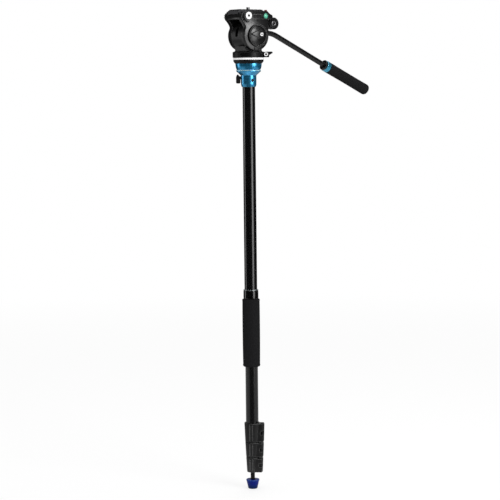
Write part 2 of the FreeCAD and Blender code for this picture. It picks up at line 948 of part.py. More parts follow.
def crown_outline():
    # The upper part of a cheek: a round nose in front, and a step down to the rear end
    rear_bow = rear_round * (1 - math.sqrt(0.5))
    floor_bow = rear_floor_round * (1 - math.sqrt(0.5))
    waist_z = tilt_axis_z + crown_waist_rise
    wrap = math.radians(nose_wrap)
    chin_x = nose_x - nose_radius * math.cos(wrap)
    chin_z = nose_z - nose_radius * math.sin(wrap)
    brow_x = nose_x - nose_radius * math.sin(wrap)
    brow_z = nose_z + nose_radius * math.cos(wrap)
    floor = platform_floor_z
    rear = crown_rear_x
    return outline(
        "xz",
        (-cheek_radius, tilt_axis_z),
        (crown_waist_x, waist_z),
        ((crown_waist_x + chin_x) / 2 + crown_bow, (waist_z + chin_z) / 2 + crown_bow, chin_x, chin_z),
        (nose_x - nose_radius, nose_z, brow_x, brow_z),
        (crown_front_x, platform_top_z),
        (rear_step_x, platform_top_z),
        (rear_step_x + rear_step_run, platform_top_z - rear_step_drop),
        (rear - rear_round, rear_end_z),
        (rear - rear_bow, rear_end_z - rear_bow, rear, rear_end_z - rear_round),
        (rear, floor + rear_floor_round),
        (rear - floor_bow, floor + floor_bow, rear - rear_floor_round, floor),
        (cheek_radius + rear_round, floor),
        (cheek_radius + rear_bow, floor - rear_bow, cheek_radius, floor - rear_round),
        (cheek_radius, tilt_axis_z),
    )


def cheek(inner, outer):
    # One side wall of the cradle between two distances from the middle plane
    disc = cross_rod(cheek_radius, 0, inner, outer, tilt_axis_z)
    crown = crown_outline().extrude(Vector(0, outer - inner, 0))
    crown.translate(Vector(0, inner, 0))
    return disc.fuse(crown)


def plate_section(growth):
    # The dovetail plate's cross-section, grown all round by a clearance
    foot = plate_foot_half_width + growth
    base = plate_base_z - growth
    shoulder = plate_base_z + plate_foot_height
    neck = foot - plate_bevel
    return outline(
        "yz",
        (-foot, base),
        (foot, base),
        (foot, shoulder),
        (neck, shoulder + plate_bevel),
        (neck, plate_top_z + growth),
        (-neck, plate_top_z + growth),
        (-neck, shoulder + plate_bevel),
        (-foot, shoulder),
    )


def jaw_section(growth):
    # The sliding jaw's cross-section on the pan bar's side of the channel
    foot = plate_foot_half_width + free_gap
    shoulder = plate_base_z + plate_foot_height
    base = channel_floor_z - growth
    outer = foot + jaw_width + growth
    top = platform_top_z + growth
    return outline(
        "yz",
        (foot - growth, base),
        (outer, base),
        (outer, top),
        (foot - plate_bevel - growth, top),
        (foot - plate_bevel - growth, shoulder + plate_bevel),
        (foot - growth, shoulder),
    )


def platform():
    # The bridge over the drum, with the dovetail channel, the jaw's pocket and the bolt's hole
    block = crown_outline().extrude(Vector(0, 2 * cheek_outer, 0))
    block.translate(Vector(0, -cheek_outer, 0))
    wide = cheek_outer + over
    front = nose_x - nose_radius
    below = box(front - over, crown_rear_x + over, -wide, wide, tilt_axis_z - over, platform_floor_z)
    clear_drum = cross_rod(drum_radius + 2 * free_gap, 0, -wide, wide, tilt_axis_z)
    return block.cut(below).cut(clear_drum)


def side_rail(side):
    # The thicker edge of the platform behind the nose
    rail = crown_outline().extrude(Vector(0, side_rail_width, 0))
    rail.translate(Vector(0, cheek_outer if side > 0 else -rail_face, 0))
    wide = rail_face + over
    reach = box(crown_front_x, crown_rear_x + over, -wide, wide, platform_floor_z, platform_top_z + over)
    return rail.common(reach)


def front_lug():
    # The small block under the dial, kept inside the cheek's round edge
    top = tilt_axis_z - dial_ring_radius - free_gap
    face = -cheek_outer - lug_width
    lug = box(lug_front_x, lug_rear_x, face, -cheek_inner, top - lug_height, top)
    return lug.common(cross_rod(cheek_radius - edge_break, 0, face - over, 0, tilt_axis_z))


def rosette_lug(side):
    # The arm behind the platform that carries one rosette
    disc = cross_rod(rosette_radius, rosette_x, rosette_inner, rosette_back, rosette_z)
    lean = math.radians(rosette_arm_angle)
    along = rosette_radius * math.cos(lean)
    rise = rosette_radius * math.sin(lean)
    root_x = crown_rear_x - rear_round * 2
    root_top = rear_end_z - rear_round
    arm = outline(
        "xz",
        (root_x, root_top),
        (crown_rear_x - edge_break, root_top),
        (rosette_x + along, rosette_z + rise),
        (rosette_x - along, rosette_z - rise),
        (root_x, platform_floor_z),
    )
    arm = arm.extrude(Vector(0, rosette_back - rosette_inner, 0))
    arm.translate(Vector(0, rosette_inner, 0))
    lug = disc.fuse(arm)
    return lug if side > 0 else mirrored(lug)


def tilt_cradle():
    near = cheek(-cheek_outer, -cheek_inner)
    far = cheek(cheek_inner, cheek_outer)
    cradle = platform().fuse(near).fuse(far).fuse(side_rail(-1)).fuse(side_rail(1))
    cradle = cradle.fuse(rosette_lug(-1)).fuse(rosette_lug(1)).fuse(front_lug())
    boss = cross_rod(boss_radius, qr_bolt_x, -boss_face, -cheek_outer, qr_bolt_z)
    under_top = box(-2 * cheek_radius, 0, -boss_face - over, 0, qr_bolt_z - boss_radius, platform_top_z)
    cradle = cradle.fuse(boss.common(under_top))
    channel = plate_section(free_gap).extrude(Vector(4 * cheek_radius, 0, 0))
    channel.translate(Vector(-2 * cheek_radius, 0, 0))
    cradle = cradle.cut(channel)
    pocket = jaw_section(free_gap).extrude(Vector(jaw_rear_x - jaw_front_x + 2 * free_gap, 0, 0))
    pocket.translate(Vector(jaw_front_x - free_gap, 0, 0))
    cradle = cradle.cut(pocket)
    pushed = pocket.copy()
    pushed.translate(Vector(0, jaw_travel, 0))
    cradle = cradle.cut(pushed)
    bolt_room = qr_bolt_radius + free_gap / 2
    bolt_hole = cross_rod(bolt_room, qr_bolt_x, -boss_face - over, rail_face + over, qr_bolt_z)
    head_seat = qr_head_height / 2 - boss_face
    head_hole = cross_rod(qr_head_radius + snug_gap, qr_bolt_x, -boss_face - over, head_seat, qr_bolt_z)
    axle_hole = cross_rod(axle_radius + running_gap, 0, -cheek_outer - over, cheek_outer + over, tilt_axis_z)
    vial_hole = cross_rod(vial_radius + snug_gap, vial_x, -rail_face - over, -cheek_outer, vial_z)
    button_floor = Vector(button_x, button_y, platform_top_z - button_depth)
    button_well = Part.makeCylinder(button_radius + running_gap, button_depth + over, button_floor)
    cradle = cradle.cut([bolt_hole, head_hole, axle_hole, vial_hole, button_well, side_groove()])
    for side in (-1, 1):
        start = rosette_inner if side > 0 else -rosette_inner - rosette_width
        sleeve_room = rosette_sleeve_radius + snug_gap
        hole = cross_rod(sleeve_room, rosette_x, start - over, start + rosette_width + over, rosette_z)
        cradle = cradle.cut(hole)
    return clean(cradle)


def side_groove():
    # The shallow groove along the near rail
    half = groove_height / 2
    groove = round_rect(
        "xz", groove_start_x, groove_end_x, qr_bolt_z - half, qr_bolt_z + half, half - running_gap
    )
    groove = groove.extrude(Vector(0, groove_depth + over, 0))
    groove.translate(Vector(0, -rail_face - over, 0))
    return groove


def tooth_ring(outer, inner, count, height):
    # Radial ridges round a disc that lies flat at height zero and points along +Z
    pitch = 2 * math.pi / count
    teeth = [tooth(outer, inner, pitch, height, pitch * index) for index in range(count)]
    return teeth[0].multiFuse(teeth[1:])


def tooth(outer, inner, pitch, height, turn):
    # One ridge whose width and height grow with its distance from the centre
    ends = []
    for radius in (inner, outer):
        half = radius * math.tan(pitch / 2)
        crest = Vector(radius, 0, height * radius / outer)
        left = Vector(radius, -half, 0)
        ends.append(Part.makePolygon([left, Vector(radius, half, 0), crest, left]))
    ridge = Part.makeLoft(ends, True, True)
    ridge.rotate(Vector(0, 0, 0), Vector(0, 0, 1), math.degrees(turn))
    return ridge


def toothed_disc(radius, thickness, bore):
    # A toothed ring, its ridges inside the full thickness, that points along +Z
    base = thickness - tooth_height
    disc = Part.makeCylinder(radius, base)
    rim = math.cos(math.pi / tooth_count) * radius
    teeth = tooth_ring(rim, tooth_root_radius, tooth_count, tooth_height)
    teeth.translate(Vector(0, 0, base))
    hub = Part.makeCylinder(tooth_root_radius, tooth_height / 2, Vector(0, 0, base))
    disc = disc.fuse(teeth).fuse(hub)
    return bored(disc, bore, -over, thickness + over)


def rosette():
    # A threaded rosette on the pan bar's side; the other side is its mirror image
    disc = toothed_disc(rosette_radius, rosette_disc + tooth_height, rosette_bolt_radius)
    disc.rotate(Vector(0, 0, 0), Vector(1, 0, 0), -90)
    disc.translate(Vector(rosette_x, rosette_back, rosette_z))
    sleeve = cross_rod(rosette_sleeve_radius, rosette_x, rosette_inner, rosette_back + over, rosette_z)
    disc = disc.fuse(sleeve)
    end = rosette_back + rosette_disc + 2 * tooth_height
    return clean(disc.cut(cross_rod(rosette_bolt_radius, rosette_x, rosette_inner - over, end, rosette_z)))


def dial_ring():
    # The fixed ring round the drag dial
    ring = cross_rod(dial_ring_radius, 0, -dial_ring_face, -cheek_outer, tilt_axis_z)
    floor = -cheek_outer - dial_floor
    return ring.cut(cross_rod(dial_ring_inner, 0, -dial_ring_face - over, floor, tilt_axis_z))


def teardrop(inset, y):
    # The closed edge of the dial's wedge: a round head whose sides run to a blunt tip
    head = wedge_radius - inset
    tip = wedge_tip_radius - inset
    x = wedge_x
    z = tilt_axis_z + wedge_rise
    lean = math.acos((head - tip) / wedge_length)
    tip_x = x - wedge_length
    across = math.sin(lean)
    along = math.cos(lean)
    top = (x - head * along, z + head * across)
    low = (x - head * along, z - head * across)
    tip_top = (tip_x - tip * along, z + tip * across)
    tip_low = (tip_x - tip * along, z - tip * across)
    face = outline("xz", top, (x + head, z, *low), tip_low, (tip_x - tip, z, *tip_top))
    face.translate(Vector(0, y, 0))
    return face.OuterWire


def drag_dial():
    # A round dial with a raised wedge that fingers turn it by
    start = -dial_ring_face + dial_recess
    end = -cheek_outer - dial_floor - running_gap
    radius = dial_ring_inner - free_gap
    dial = cross_rod(radius, 0, start, end, tilt_axis_z)
    wires = [teardrop(0, start + edge_break), teardrop(wedge_draft, start - wedge_height)]
    wedge = Part.makeLoft(wires, True, True)
    wedge = wedge.common(cross_rod(radius, 0, start - wedge_height - over, end, tilt_axis_z))
    return clean(dial.fuse(wedge))


def dial_cap():
    # A small round insert with a socket, on the head of the dial's wedge
    start = -dial_ring_face + dial_recess - wedge_height
    face = start - dial_cap_height
    z = tilt_axis_z + dial_cap_rise
    cap = cross_rod(dial_cap_radius, dial_cap_x, face, start, z)
    return cap.cut(cross_rod(dial_cap_socket, dial_cap_x, face - over, start - dial_cap_height / 2, z))


def far_cap():
    cap = cross_rod(dial_ring_radius, 0, cheek_outer, far_cap_face, tilt_axis_z)
    return cap.makeChamfer(edge_break, [outer_edge(cap, far_cap_face)])


def outer_edge(shape, y):
    # The round edge that lies in a plane across Y
    for edge in shape.Edges:
        if abs(edge.BoundBox.YMin - y) < over / 100 and abs(edge.BoundBox.YMax - y) < over / 100:
            return edge
    return shape.Edges[0]


def tilt_lever():
    # The tilt lock's hub and the arm that hangs from it
    start = far_cap_face + free_gap
    end = start + tilt_hub_length
    hub = cross_rod(tilt_hub_radius, 0, start, end, tilt_axis_z)
    half = tilt_arm_width / 2
    tip = tilt_axis_z - tilt_arm_reach
    arm = outline(
        "xz",
        (-half - over, tilt_axis_z),
        (-half, tip + half),
        (0, tip, half, tip + half),
        (half + over, tilt_axis_z),
    )
    arm = arm.extrude(Vector(0, tilt_arm_thickness, 0))
    arm.translate(Vector(0, end - tilt_arm_thickness, 0))
    return clean(hub.fuse(arm))


def save_head():
    save("head_body", head_body())
    save("tilt_axle", tilt_axle())
    save("tilt_cradle", tilt_cradle())
    disc = rosette()
    save("rosette_right", disc)
    save("rosette_left", mirrored(disc))
    save("dial_ring", dial_ring())
    save("drag_dial", drag_dial())
    save("dial_cap", dial_cap())
    save("far_cap", far_cap())
    save("tilt_lever", tilt_lever())
    save("level_vial", cross_rod(vial_radius, vial_x, -rail_face, -cheek_outer - edge_break, vial_z))
    save("vial_bezel", vial_bezel())
    save("safety_button", safety_button())


def vial_bezel():
    # The ring that frames the bubble level
    front = -rail_face - bezel_height
    bezel = cross_rod(bezel_radius, vial_x, front, -rail_face, vial_z)
    return bezel.cut(cross_rod(vial_radius - bezel_lap, vial_x, front - over, -rail_face + over, vial_z))


def safety_button():
    button_base = platform_top_z - button_depth + button_travel + free_gap
    button_top = platform_top_z + button_rise
    button = turned(
        (0, button_base),
        (button_radius, button_base),
        (button_radius, button_top - edge_break),
        (button_radius - edge_break, button_top),
        (0, button_top),
    )
    button.translate(Vector(button_x, button_y, 0))
    return button


# Quick release


def camera_plate():
    # The sliding dovetail plate, its corners rounded in plan, with a well for the screw's head
    length = plate_rear_x - plate_front_x
    plate = plate_section(0).extrude(Vector(length, 0, 0))
    plate.translate(Vector(plate_front_x, 0, 0))
    foot = plate_foot_half_width
    plan = round_rect("xy", plate_front_x, plate_rear_x, -foot, foot, plate_corner)
    plate = plate.common(plan.extrude(Vector(0, 0, plate_top_z + over)))
    well_top = plate_base_z + screw_head_height + free_gap
    plate = bored(plate, screw_head_radius + free_gap, channel_floor_z - over, well_top)
    return clean(bored(plate, screw_radius + free_gap, channel_floor_z, plate_top_z + over))


def plate_pad():
    # The rubber pad with raised ribs across it
    neck = plate_foot_half_width - plate_bevel
    inset = pad_inset
    base = plate_top_z
    flat = base + pad_height - pad_rib_height
    plan = round_rect(
        "xy", plate_front_x + inset, plate_rear_x - inset, -neck + inset, neck - inset, plate_corner - inset
    )
    pad = plan.extrude(Vector(0, 0, flat - base))
    pad.translate(Vector(0, 0, base))
    span = plate_rear_x - plate_front_x - 2 * inset - 2 * plate_corner
    pitch = span / (2 * pad_rib_count - 1)
    for index in range(pad_rib_count):
        x = plate_front_x + inset + plate_corner + 2 * pitch * index
        rib = box(x, x + pitch, -neck + 2 * inset, neck - 2 * inset, flat - edge_break, base + pad_height)
        pad = pad.fuse(rib)
    return clean(bored(pad, screw_radius + free_gap, base - over, base + pad_height + over))


def camera_screw():
    # The captive screw that holds the camera
    head_top = plate_base_z + screw_head_height
    pad_top = plate_top_z + pad_height
    tip = pad_top + screw_proud
    screw = turned(
        (0, plate_base_z),
        (screw_head_radius, plate_base_z),
        (screw_head_radius, head_top),
        (screw_neck_radius, head_top),
        (screw_neck_radius, pad_top - edge_break),
        (screw_radius, pad_top),
        (screw_radius, tip),
        (0, tip),
    )
    return screw


def quick_release_jaw():
    jaw = jaw_section(0).extrude(Vector(jaw_rear_x - jaw_front_x, 0, 0))
    jaw.translate(Vector(jaw_front_x, 0, 0))
    return jaw


def quick_release_bolt():
    # The cross bolt, whose polished head shows on the dial's side
    seat = qr_head_height / 2 - boss_face
    front = seat - qr_head_height
    head = cross_rod(qr_head_radius, qr_bolt_x, front, seat, qr_bolt_z)
    head = head.cut(cross_rod(qr_head_socket, qr_bolt_x, front - over, seat - edge_break, qr_bolt_z))
    end = rail_face + knob_length / 2
    return clean(head.fuse(cross_rod(qr_bolt_radius, qr_bolt_x, seat - edge_break / 2, end, qr_bolt_z)))


def quick_release_knob():
    start = rail_face + free_gap
    end = start + knob_length
    knob = cross_rod(knob_radius, qr_bolt_x, start, end, qr_bolt_z)
    flutes = []
    for index in range(knob_flutes):
        turn = 2 * math.pi * index / knob_flutes
        x = qr_bolt_x + knob_radius * math.cos(turn)
        z = qr_bolt_z + knob_radius * math.sin(turn)
        flutes.append(cross_rod(knob_flute_radius, x, start + over, end + over, z))
    bolt_room = qr_bolt_radius + running_gap
    flutes.append(cross_rod(bolt_room, qr_bolt_x, start - over, start + knob_length / 2, qr_bolt_z))
    return clean(knob.cut(flutes))


def save_quick_release():
    save("camera_plate", camera_plate())
    save("plate_pad", plate_pad())
    save("camera_screw", camera_screw())
    save("qr_jaw", quick_release_jaw())
    save("qr_bolt", quick_release_bolt())
    save("qr_knob", quick_release_knob())


# Pan bar


def bar_path():
    # The bar's start, both ends of its bend and its lower end, and the lower run's direction
    y = bar_face + bar_hub_width / 2
    z = rosette_z - bar_socket_drop
    start = Vector(rosette_x + bar_socket_radius / 2, y, z)
    bend = Vector(rosette_x + bar_straight, y, z)
    angle = math.radians(bar_bend_angle)
    middle = bend + Vector(math.sin(angle / 2), 0, math.cos(angle / 2) - 1).multiply(bar_bend_radius)
    after = bend + Vector(math.sin(angle), 0, math.cos(angle) - 1).multiply(bar_bend_radius)
    away = Vector(math.cos(angle), 0, -math.sin(angle))
    return start, bend, middle, after, away


def pan_bar():
    start, bend, middle, after, away = bar_path()
    end = after + away * (bar_lower_length + handle_lip_length + handle_ring_length + bar_in_handle)
    path = Part.Wire([
        Part.LineSegment(start, bend).toShape(),
        Part.Arc(bend, middle, after).toShape(),
        Part.LineSegment(after, end).toShape(),
    ])
    section = Part.Wire(Part.Circle(start, Vector(1, 0, 0), bar_radius).toShape())
    return path.makePipeShell([section], True, False)


def bar_clamp():
    # The toothed hub with a socket below it that holds the bar
    start, bend, middle, after, away = bar_path()
    hub = toothed_disc(bar_hub_radius, bar_hub_width, rosette_bolt_radius + free_gap)
    hub.rotate(Vector(0, 0, 0), Vector(1, 0, 0), 90)
    hub.translate(Vector(rosette_x, bar_face + bar_hub_width, rosette_z))
    half = bar_hub_width / 2 - tooth_height
    lean = math.radians(bar_rib_angle)
    along = bar_hub_radius * math.cos(lean)
    across = bar_hub_radius * math.sin(lean)
    socket_x = rosette_x - bar_socket_radius / 2
    rib = outline(
        "xz",
        (rosette_x - across, rosette_z - along),
        (socket_x, start.z),
        (rosette_x + bar_socket_length - bar_socket_radius, start.z),
        (rosette_x + along, rosette_z - across),
    )
    rib = rib.extrude(Vector(0, 2 * half, 0))
    rib.translate(Vector(0, start.y - half + tooth_height / 2, 0))
    socket_start = Vector(socket_x, start.y, start.z)
    socket = Part.makeCylinder(bar_socket_radius, bar_socket_length, socket_start, Vector(1, 0, 0))
    guard = box(0, 2 * rosette_x, 0, bar_face + tooth_height, 0, rosette_z)
    clamp = hub.fuse(rib).fuse(socket.cut(guard))
    hole_length = bar_socket_length + 2 * over
    hole = Part.makeCylinder(bar_radius + snug_gap, hole_length, start, Vector(1, 0, 0))
    bolt_radius = rosette_bolt_radius + free_gap
    bolt_end = bar_face + bar_hub_width + over
    bolt_room = cross_rod(bolt_radius, rosette_x, bar_face - over, bolt_end, rosette_z)
    return clean(clamp.cut(hole).cut(bolt_room))


def along_bar(shape):
    # Places a piece that was turned about Z onto the bar's lower run
    start, bend, middle, after, away = bar_path()
    placed = shape.copy()
    placed.rotate(Vector(0, 0, 0), Vector(0, 1, 0), 90 + bar_bend_angle)
    placed.translate(after + away * bar_lower_length)
    return placed


def save_bar():
    bore = bar_radius + snug_gap
    save("pan_bar", pan_bar())
    save("bar_clamp", bar_clamp())
    lip_end = handle_lip_length
    lip = turned(
        (bore, 0),
        (handle_lip_radius - edge_break, 0),
        (handle_lip_radius, edge_break),
        (handle_lip_radius, lip_end),
        (bore, lip_end),
    )
    ring_end = lip_end + handle_ring_length
    ring = turned(
        (bore, lip_end),
        (handle_ring_radius - edge_break, lip_end),
        (handle_ring_radius, lip_end + edge_break),
        (handle_ring_radius, ring_end - edge_break),
        (handle_ring_radius - edge_break, ring_end),
        (bore, ring_end),
    )
    tip = ring_end + handle_length
    hole_end = ring_end + bar_in_handle + snug_gap
    curve = handle_tip_curve
    bow = curve * (1 - math.sqrt(0.5))
    foam = turned(
        (bore, ring_end),
        (handle_radius, ring_end),
        (handle_radius, tip - curve),
        (handle_radius - bow, tip - bow, handle_radius - curve, tip),
        (0, tip),
        (0, hole_end),
        (bore, hole_end),
    )
    save("handle_collar", along_bar(lip))
    save("handle_ring", along_bar(ring))
    save("handle_foam", along_bar(foam))
    save("bar_knob", bar_knob())


def bar_knob():
    # The lobed knob whose bolt draws the two rosettes together
    start = bar_face + bar_hub_width + free_gap
    end = start + bar_knob_length
    knob = cross_rod(bar_knob_radius, rosette_x, start, end, rosette_z)
    flutes = []
    for index in range(bar_knob_lobes):
        turn = 2 * math.pi * index / bar_knob_lobes
        x = rosette_x + (bar_knob_radius + knob_flute_radius) * math.cos(turn)
        z = rosette_z + (bar_knob_radius + knob_flute_radius) * math.sin(turn)
        flutes.append(cross_rod(2 * knob_flute_radius, x, start - over, end + over, z))
    knob = knob.cut(flutes)
    inner = rosette_inner + over
    bolt = cross_rod(rosette_bolt_radius - running_gap, rosette_x, inner, start + over, rosette_z)
    return clean(knob.fuse(bolt))


os.makedirs("parts", exist_ok=True)
save_leg()
save_foot()
save_grip()
save_level()
save_head()
save_quick_release()
save_bar()
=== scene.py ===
import json
import math

import bpy
from mathutils import Matrix, Vector


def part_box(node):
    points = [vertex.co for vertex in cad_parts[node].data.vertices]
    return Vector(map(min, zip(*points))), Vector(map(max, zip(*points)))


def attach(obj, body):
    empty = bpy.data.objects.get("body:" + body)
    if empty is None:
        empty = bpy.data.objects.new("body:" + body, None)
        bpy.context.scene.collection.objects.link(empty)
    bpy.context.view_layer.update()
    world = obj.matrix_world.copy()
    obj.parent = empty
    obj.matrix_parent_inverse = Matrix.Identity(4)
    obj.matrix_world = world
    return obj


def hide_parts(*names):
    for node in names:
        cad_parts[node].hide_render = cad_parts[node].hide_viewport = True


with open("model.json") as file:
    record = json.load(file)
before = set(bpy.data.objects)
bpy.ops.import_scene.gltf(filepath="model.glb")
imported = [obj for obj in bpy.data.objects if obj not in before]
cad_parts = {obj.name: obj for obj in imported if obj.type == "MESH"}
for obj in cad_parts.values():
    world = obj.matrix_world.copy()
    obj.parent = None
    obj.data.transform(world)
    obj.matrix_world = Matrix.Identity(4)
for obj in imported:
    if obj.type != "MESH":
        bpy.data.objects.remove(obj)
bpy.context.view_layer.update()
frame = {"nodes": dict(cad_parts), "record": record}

nodeObjects = frame["nodes"]


def bodyOf(node):
    # The body that a CAD node rides on
    for body, members in frame["record"]["behaviour"]["bodies"].items():
        if node in members:
            return body


# Shader maths: a Channel is one output socket, and plain expressions on it add Math nodes

class Channel:
    def __init__(self, paint, socket):
        self.paint = paint
        self.socket = socket

    def maths(self, operation, first, second):
        return self.paint.node("Math", {"operation": operation}, {0: first, 1: second})

    def __add__(self, other):
        return self.maths("ADD", self, other)

    def __radd__(self, other):
        return self.maths("ADD", other, self)

    def __sub__(self, other):
        return self.maths("SUBTRACT", self, other)

    def __rsub__(self, other):
        return self.maths("SUBTRACT", other, self)

    def __mul__(self, other):
        return self.maths("MULTIPLY", self, other)

    def __rmul__(self, other):
        return self.maths("MULTIPLY", other, self)

    def __truediv__(self, other):
        return self.maths("DIVIDE", self, other)

    def __abs__(self):
        return self.maths("ABSOLUTE", self, 0)

    def __gt__(self, other):
        return self.maths("GREATER_THAN", self, other)

    def __lt__(self, other):
        return self.maths("LESS_THAN", self, other)


class Nodes:
    # A node tree that grows by one method
    def __init__(self, tree):
        self.tree = tree

    def node(self, kind, settings=None, sockets=None, output=0):
        made = self.tree.nodes.new("ShaderNode" + kind)
        for key, value in (settings or {}).items():
            setattr(made, key, value)
        for key, value in (sockets or {}).items():
            self.feed(made.inputs[key], value)
        return Channel(self, made.outputs[output])

    def feed(self, socket, value):
        if isinstance(value, Channel):
            self.tree.links.new(value.socket, socket)
        elif isinstance(value, tuple) and len(value) == 3 and socket.type == "RGBA":
            socket.default_value = (*value, 1)
        else:
            socket.default_value = value

    def clamped(self, value):
        return self.node("Clamp", None, {"Value": value})

    def ranged(self, value, fromLow, fromHigh, toLow, toHigh):
        sockets = {
            "Value": value, "From Min": fromLow, "From Max": fromHigh, "To Min": toLow, "To Max": toHigh,
        }
        return self.node("MapRange", None, sockets)

    def dot(self, first, second):
        return self.node("VectorMath", {"operation": "DOT_PRODUCT"}, {0: first, 1: second}, 1)

    def rays(self, *kinds):
        # 1 where the ray is of any of the named kinds
        path = self.node("LightPath").socket.node
        total = Channel(self, path.outputs[kinds[0]])
        for kind in kinds[1:]:
            total = total + Channel(self, path.outputs[kind])
        return self.clamped(total)


class Paint(Nodes):
    # One material with its main shader
    def __init__(self, name):
        self.material = bpy.data.materials.new(name)
        self.material.use_nodes = True
        super().__init__(self.material.node_tree)
        self.shader = self.tree.nodes["Principled BSDF"]
        self.output = self.tree.nodes["Material Output"]

    def set(self, **values):
        # Sockets of the main shader, by name with the spaces left out
        for key, value in values.items():
            for socket in self.shader.inputs:
                if socket.name.replace(" ", "") == key:
                    self.feed(socket, value)

    def place(self):
        return self.node("TexCoord", output=3)

    def stretched(self, scale):
        return self.node("Mapping", None, {"Vector": self.place(), "Scale": scale})

    def distance(self, place, middle):
        return self.node("VectorMath", {"operation": "DISTANCE"}, {0: place, 1: middle}, 1)

    def noise(self, scale, detail=3, stretch=None):
        vector = self.stretched(stretch) if stretch else self.place()
        return self.node("TexNoise", None, {"Vector": vector, "Scale": scale, "Detail": detail})

    def cells(self, scale):
        return self.node("TexVoronoi", None, {"Vector": self.place(), "Scale": scale})

    def tint(self, factor, low, high):
        # A colour that runs from low to high with the factor
        return self.node("Mix", {"data_type": "RGBA"}, {"Factor": factor, 6: low, 7: high}, 2)

    def between(self, factor, low, high):
        return factor * (high - low) + low

    def about(self, factor, middle, below, above=None):
        # From below the middle value to above it, by the same step if only one is given
        return self.between(factor, middle - below, middle + (below if above is None else above))

    def softEdges(self, radius):
        return self.node("Bevel", {"samples": 4}, {"Radius": radius})

    def edgeMask(self, radius, strength):
        # Where the surface turns a corner: 0 on flat ground, towards 1 on an edge
        soft = self.softEdges(radius)
        flat = self.node("NewGeometry", output=1)
        return self.clamped((1 - self.dot(soft, flat)) * strength)

    def bump(self, height, distance, strength, normal=None):
        sockets = {"Height": height, "Distance": distance, "Strength": strength}
        if normal:
            sockets["Normal"] = normal
        return self.node("Bump", None, sockets)


# Finishes: lengths in metres, places in the part's own frame

tubeSettings = {
    "colour": (0.001, 0.001, 0.0011), "worn": (0.006, 0.006, 0.0064), "roughness": 0.2,
    "streakScale": 60, "drawn": (1, 1, 0.01), "streakSpread": 0.05, "streakDepth": 0.00002,
    "streakBump": 0.12, "cloudScale": 9, "cloudShare": 0.4, "rimWidth": 0.0005, "rimStrength": 3.0,
    "rimShare": 0.6, "shine": 0.5, "coat": 0.85, "coatRoughness": 0.16,
}


def tubeLacquer():
    # Gloss black tube: faint drawn streaks along it, and a paler rim
    values = tubeSettings
    paint = Paint("tubeLacquer")
    streaks = paint.noise(values["streakScale"], 4, values["drawn"])
    clouds = paint.noise(values["cloudScale"])
    rim = paint.edgeMask(values["rimWidth"], values["rimStrength"])
    paling = clouds * values["cloudShare"] + rim * values["rimShare"]
    paint.set(BaseColor=paint.tint(paling, values["colour"], values["worn"]))
    paint.set(Roughness=paint.about(streaks, values["roughness"], values["streakSpread"]))
    paint.set(Normal=paint.bump(streaks, values["streakDepth"], values["streakBump"]))
    paint.set(SpecularIORLevel=values["shine"])
    paint.set(CoatWeight=values["coat"], CoatRoughness=values["coatRoughness"])
    return paint.material


mouldSettings = {
    "poreScale": 2600, "poreBump": 0.5, "cloudScale": 45, "cloudShare": 0.06,
    "rubStrength": 2.5, "rubPolish": 0.5, "smoother": 0.06, "rougher": 0.08,
}


def moulded(name, colour, roughness, grain=0.00004, shine=0.4, edge=0.0006, edgeWearAndHighlight=0.02):
    # Moulded plastic: fine spark grain, softened corners, and edges painted paler, partly for rubbing
    # and partly as a painted highlight
    # grain: depth of the pores; edge: width of the corners; rub: how much paler the edges are painted,
    # for rubbing and as a painted highlight
    values = mouldSettings
    paint = Paint(name)
    pores = paint.noise(values["poreScale"], 2)
    clouds = paint.noise(values["cloudScale"], 4)
    # Edge mask: paler edges, painted for rubbing and as a painted highlight
    rubbed = paint.edgeMask(edge, values["rubStrength"])
    pale = tuple(min(1, level + edgeWearAndHighlight) for level in colour)
    shade = paint.clamped(clouds * values["cloudShare"] + rubbed)
    paint.set(BaseColor=paint.tint(shade, colour, pale))
    matt = clouds - rubbed * values["rubPolish"]
    paint.set(Roughness=paint.about(matt, roughness, values["smoother"], values["rougher"]))
    paint.set(Normal=paint.bump(pores, grain, values["poreBump"], paint.softEdges(edge)))
    paint.set(SpecularIORLevel=shine)
    return paint.material


powderSettings = {
    "peelScale": 1100, "peelDepth": 0.00005, "peelBump": 0.35, "cloudScale": 30, "cloudShare": 0.03,
    "wearStrength": 2.6, "wearShare": 0.6, "scuffScale": 300, "scuffLevel": 0.56, "scuffShare": 0.4,
    "paler": 3.0, "spread": 0.07,
}


def powderCoat(name, colour, roughness, shine=0.35, edge=0.0008, crown=None, edgeWearAndHighlight=0.075):
    # Satin black metal: orange-peel bump, and edges painted paler, for coat worn thin and, on coats with
    # strongly paled edges, as a painted highlight
    # crown: the middle and the curve radius of faces that are cast slightly full
    values = powderSettings
    paint = Paint(name)
    peel = paint.noise(values["peelScale"])
    clouds = paint.noise(values["cloudScale"], 4)
    # Edge mask: paler edges, painted for worn coat and as a painted highlight
    worn = paint.edgeMask(edge, values["wearStrength"])
    scuffs = paint.noise(values["scuffScale"], 6) > values["scuffLevel"]
    paling = clouds * values["cloudShare"] + worn * (scuffs * values["scuffShare"] + values["wearShare"])
    pale = tuple(level * values["paler"] + edgeWearAndHighlight for level in colour)
    paint.set(BaseColor=paint.tint(paling, colour, pale))
    paint.set(Roughness=paint.about(clouds, roughness, values["spread"]))
    ground = paint.softEdges(edge)
    if crown:
        # The drop of a dome of that radius, at full depth
        away = paint.distance(paint.place(), crown["middle"])
        ground = paint.bump(away * away * -1 / (2 * crown["curve"]), 1.0, 1.0, ground)
    paint.set(Normal=paint.bump(peel, values["peelDepth"], values["peelBump"], ground))
    paint.set(SpecularIORLevel=shine)
    return paint.material


turnedSettings = {
    "squeeze": 0.02, "ringDepth": 0.00002, "ringBump": 0.3, "cloudScale": 40, "cloudShare": 0.5,
    "edgeWidth": 0.0005, "edgeStrength": 2.0, "edgeShare": 0.5, "bevel": 0.0004,
    "paler": 1.2, "gleam": 0.04, "smoother": 0.04, "rougher": 0.08,
}


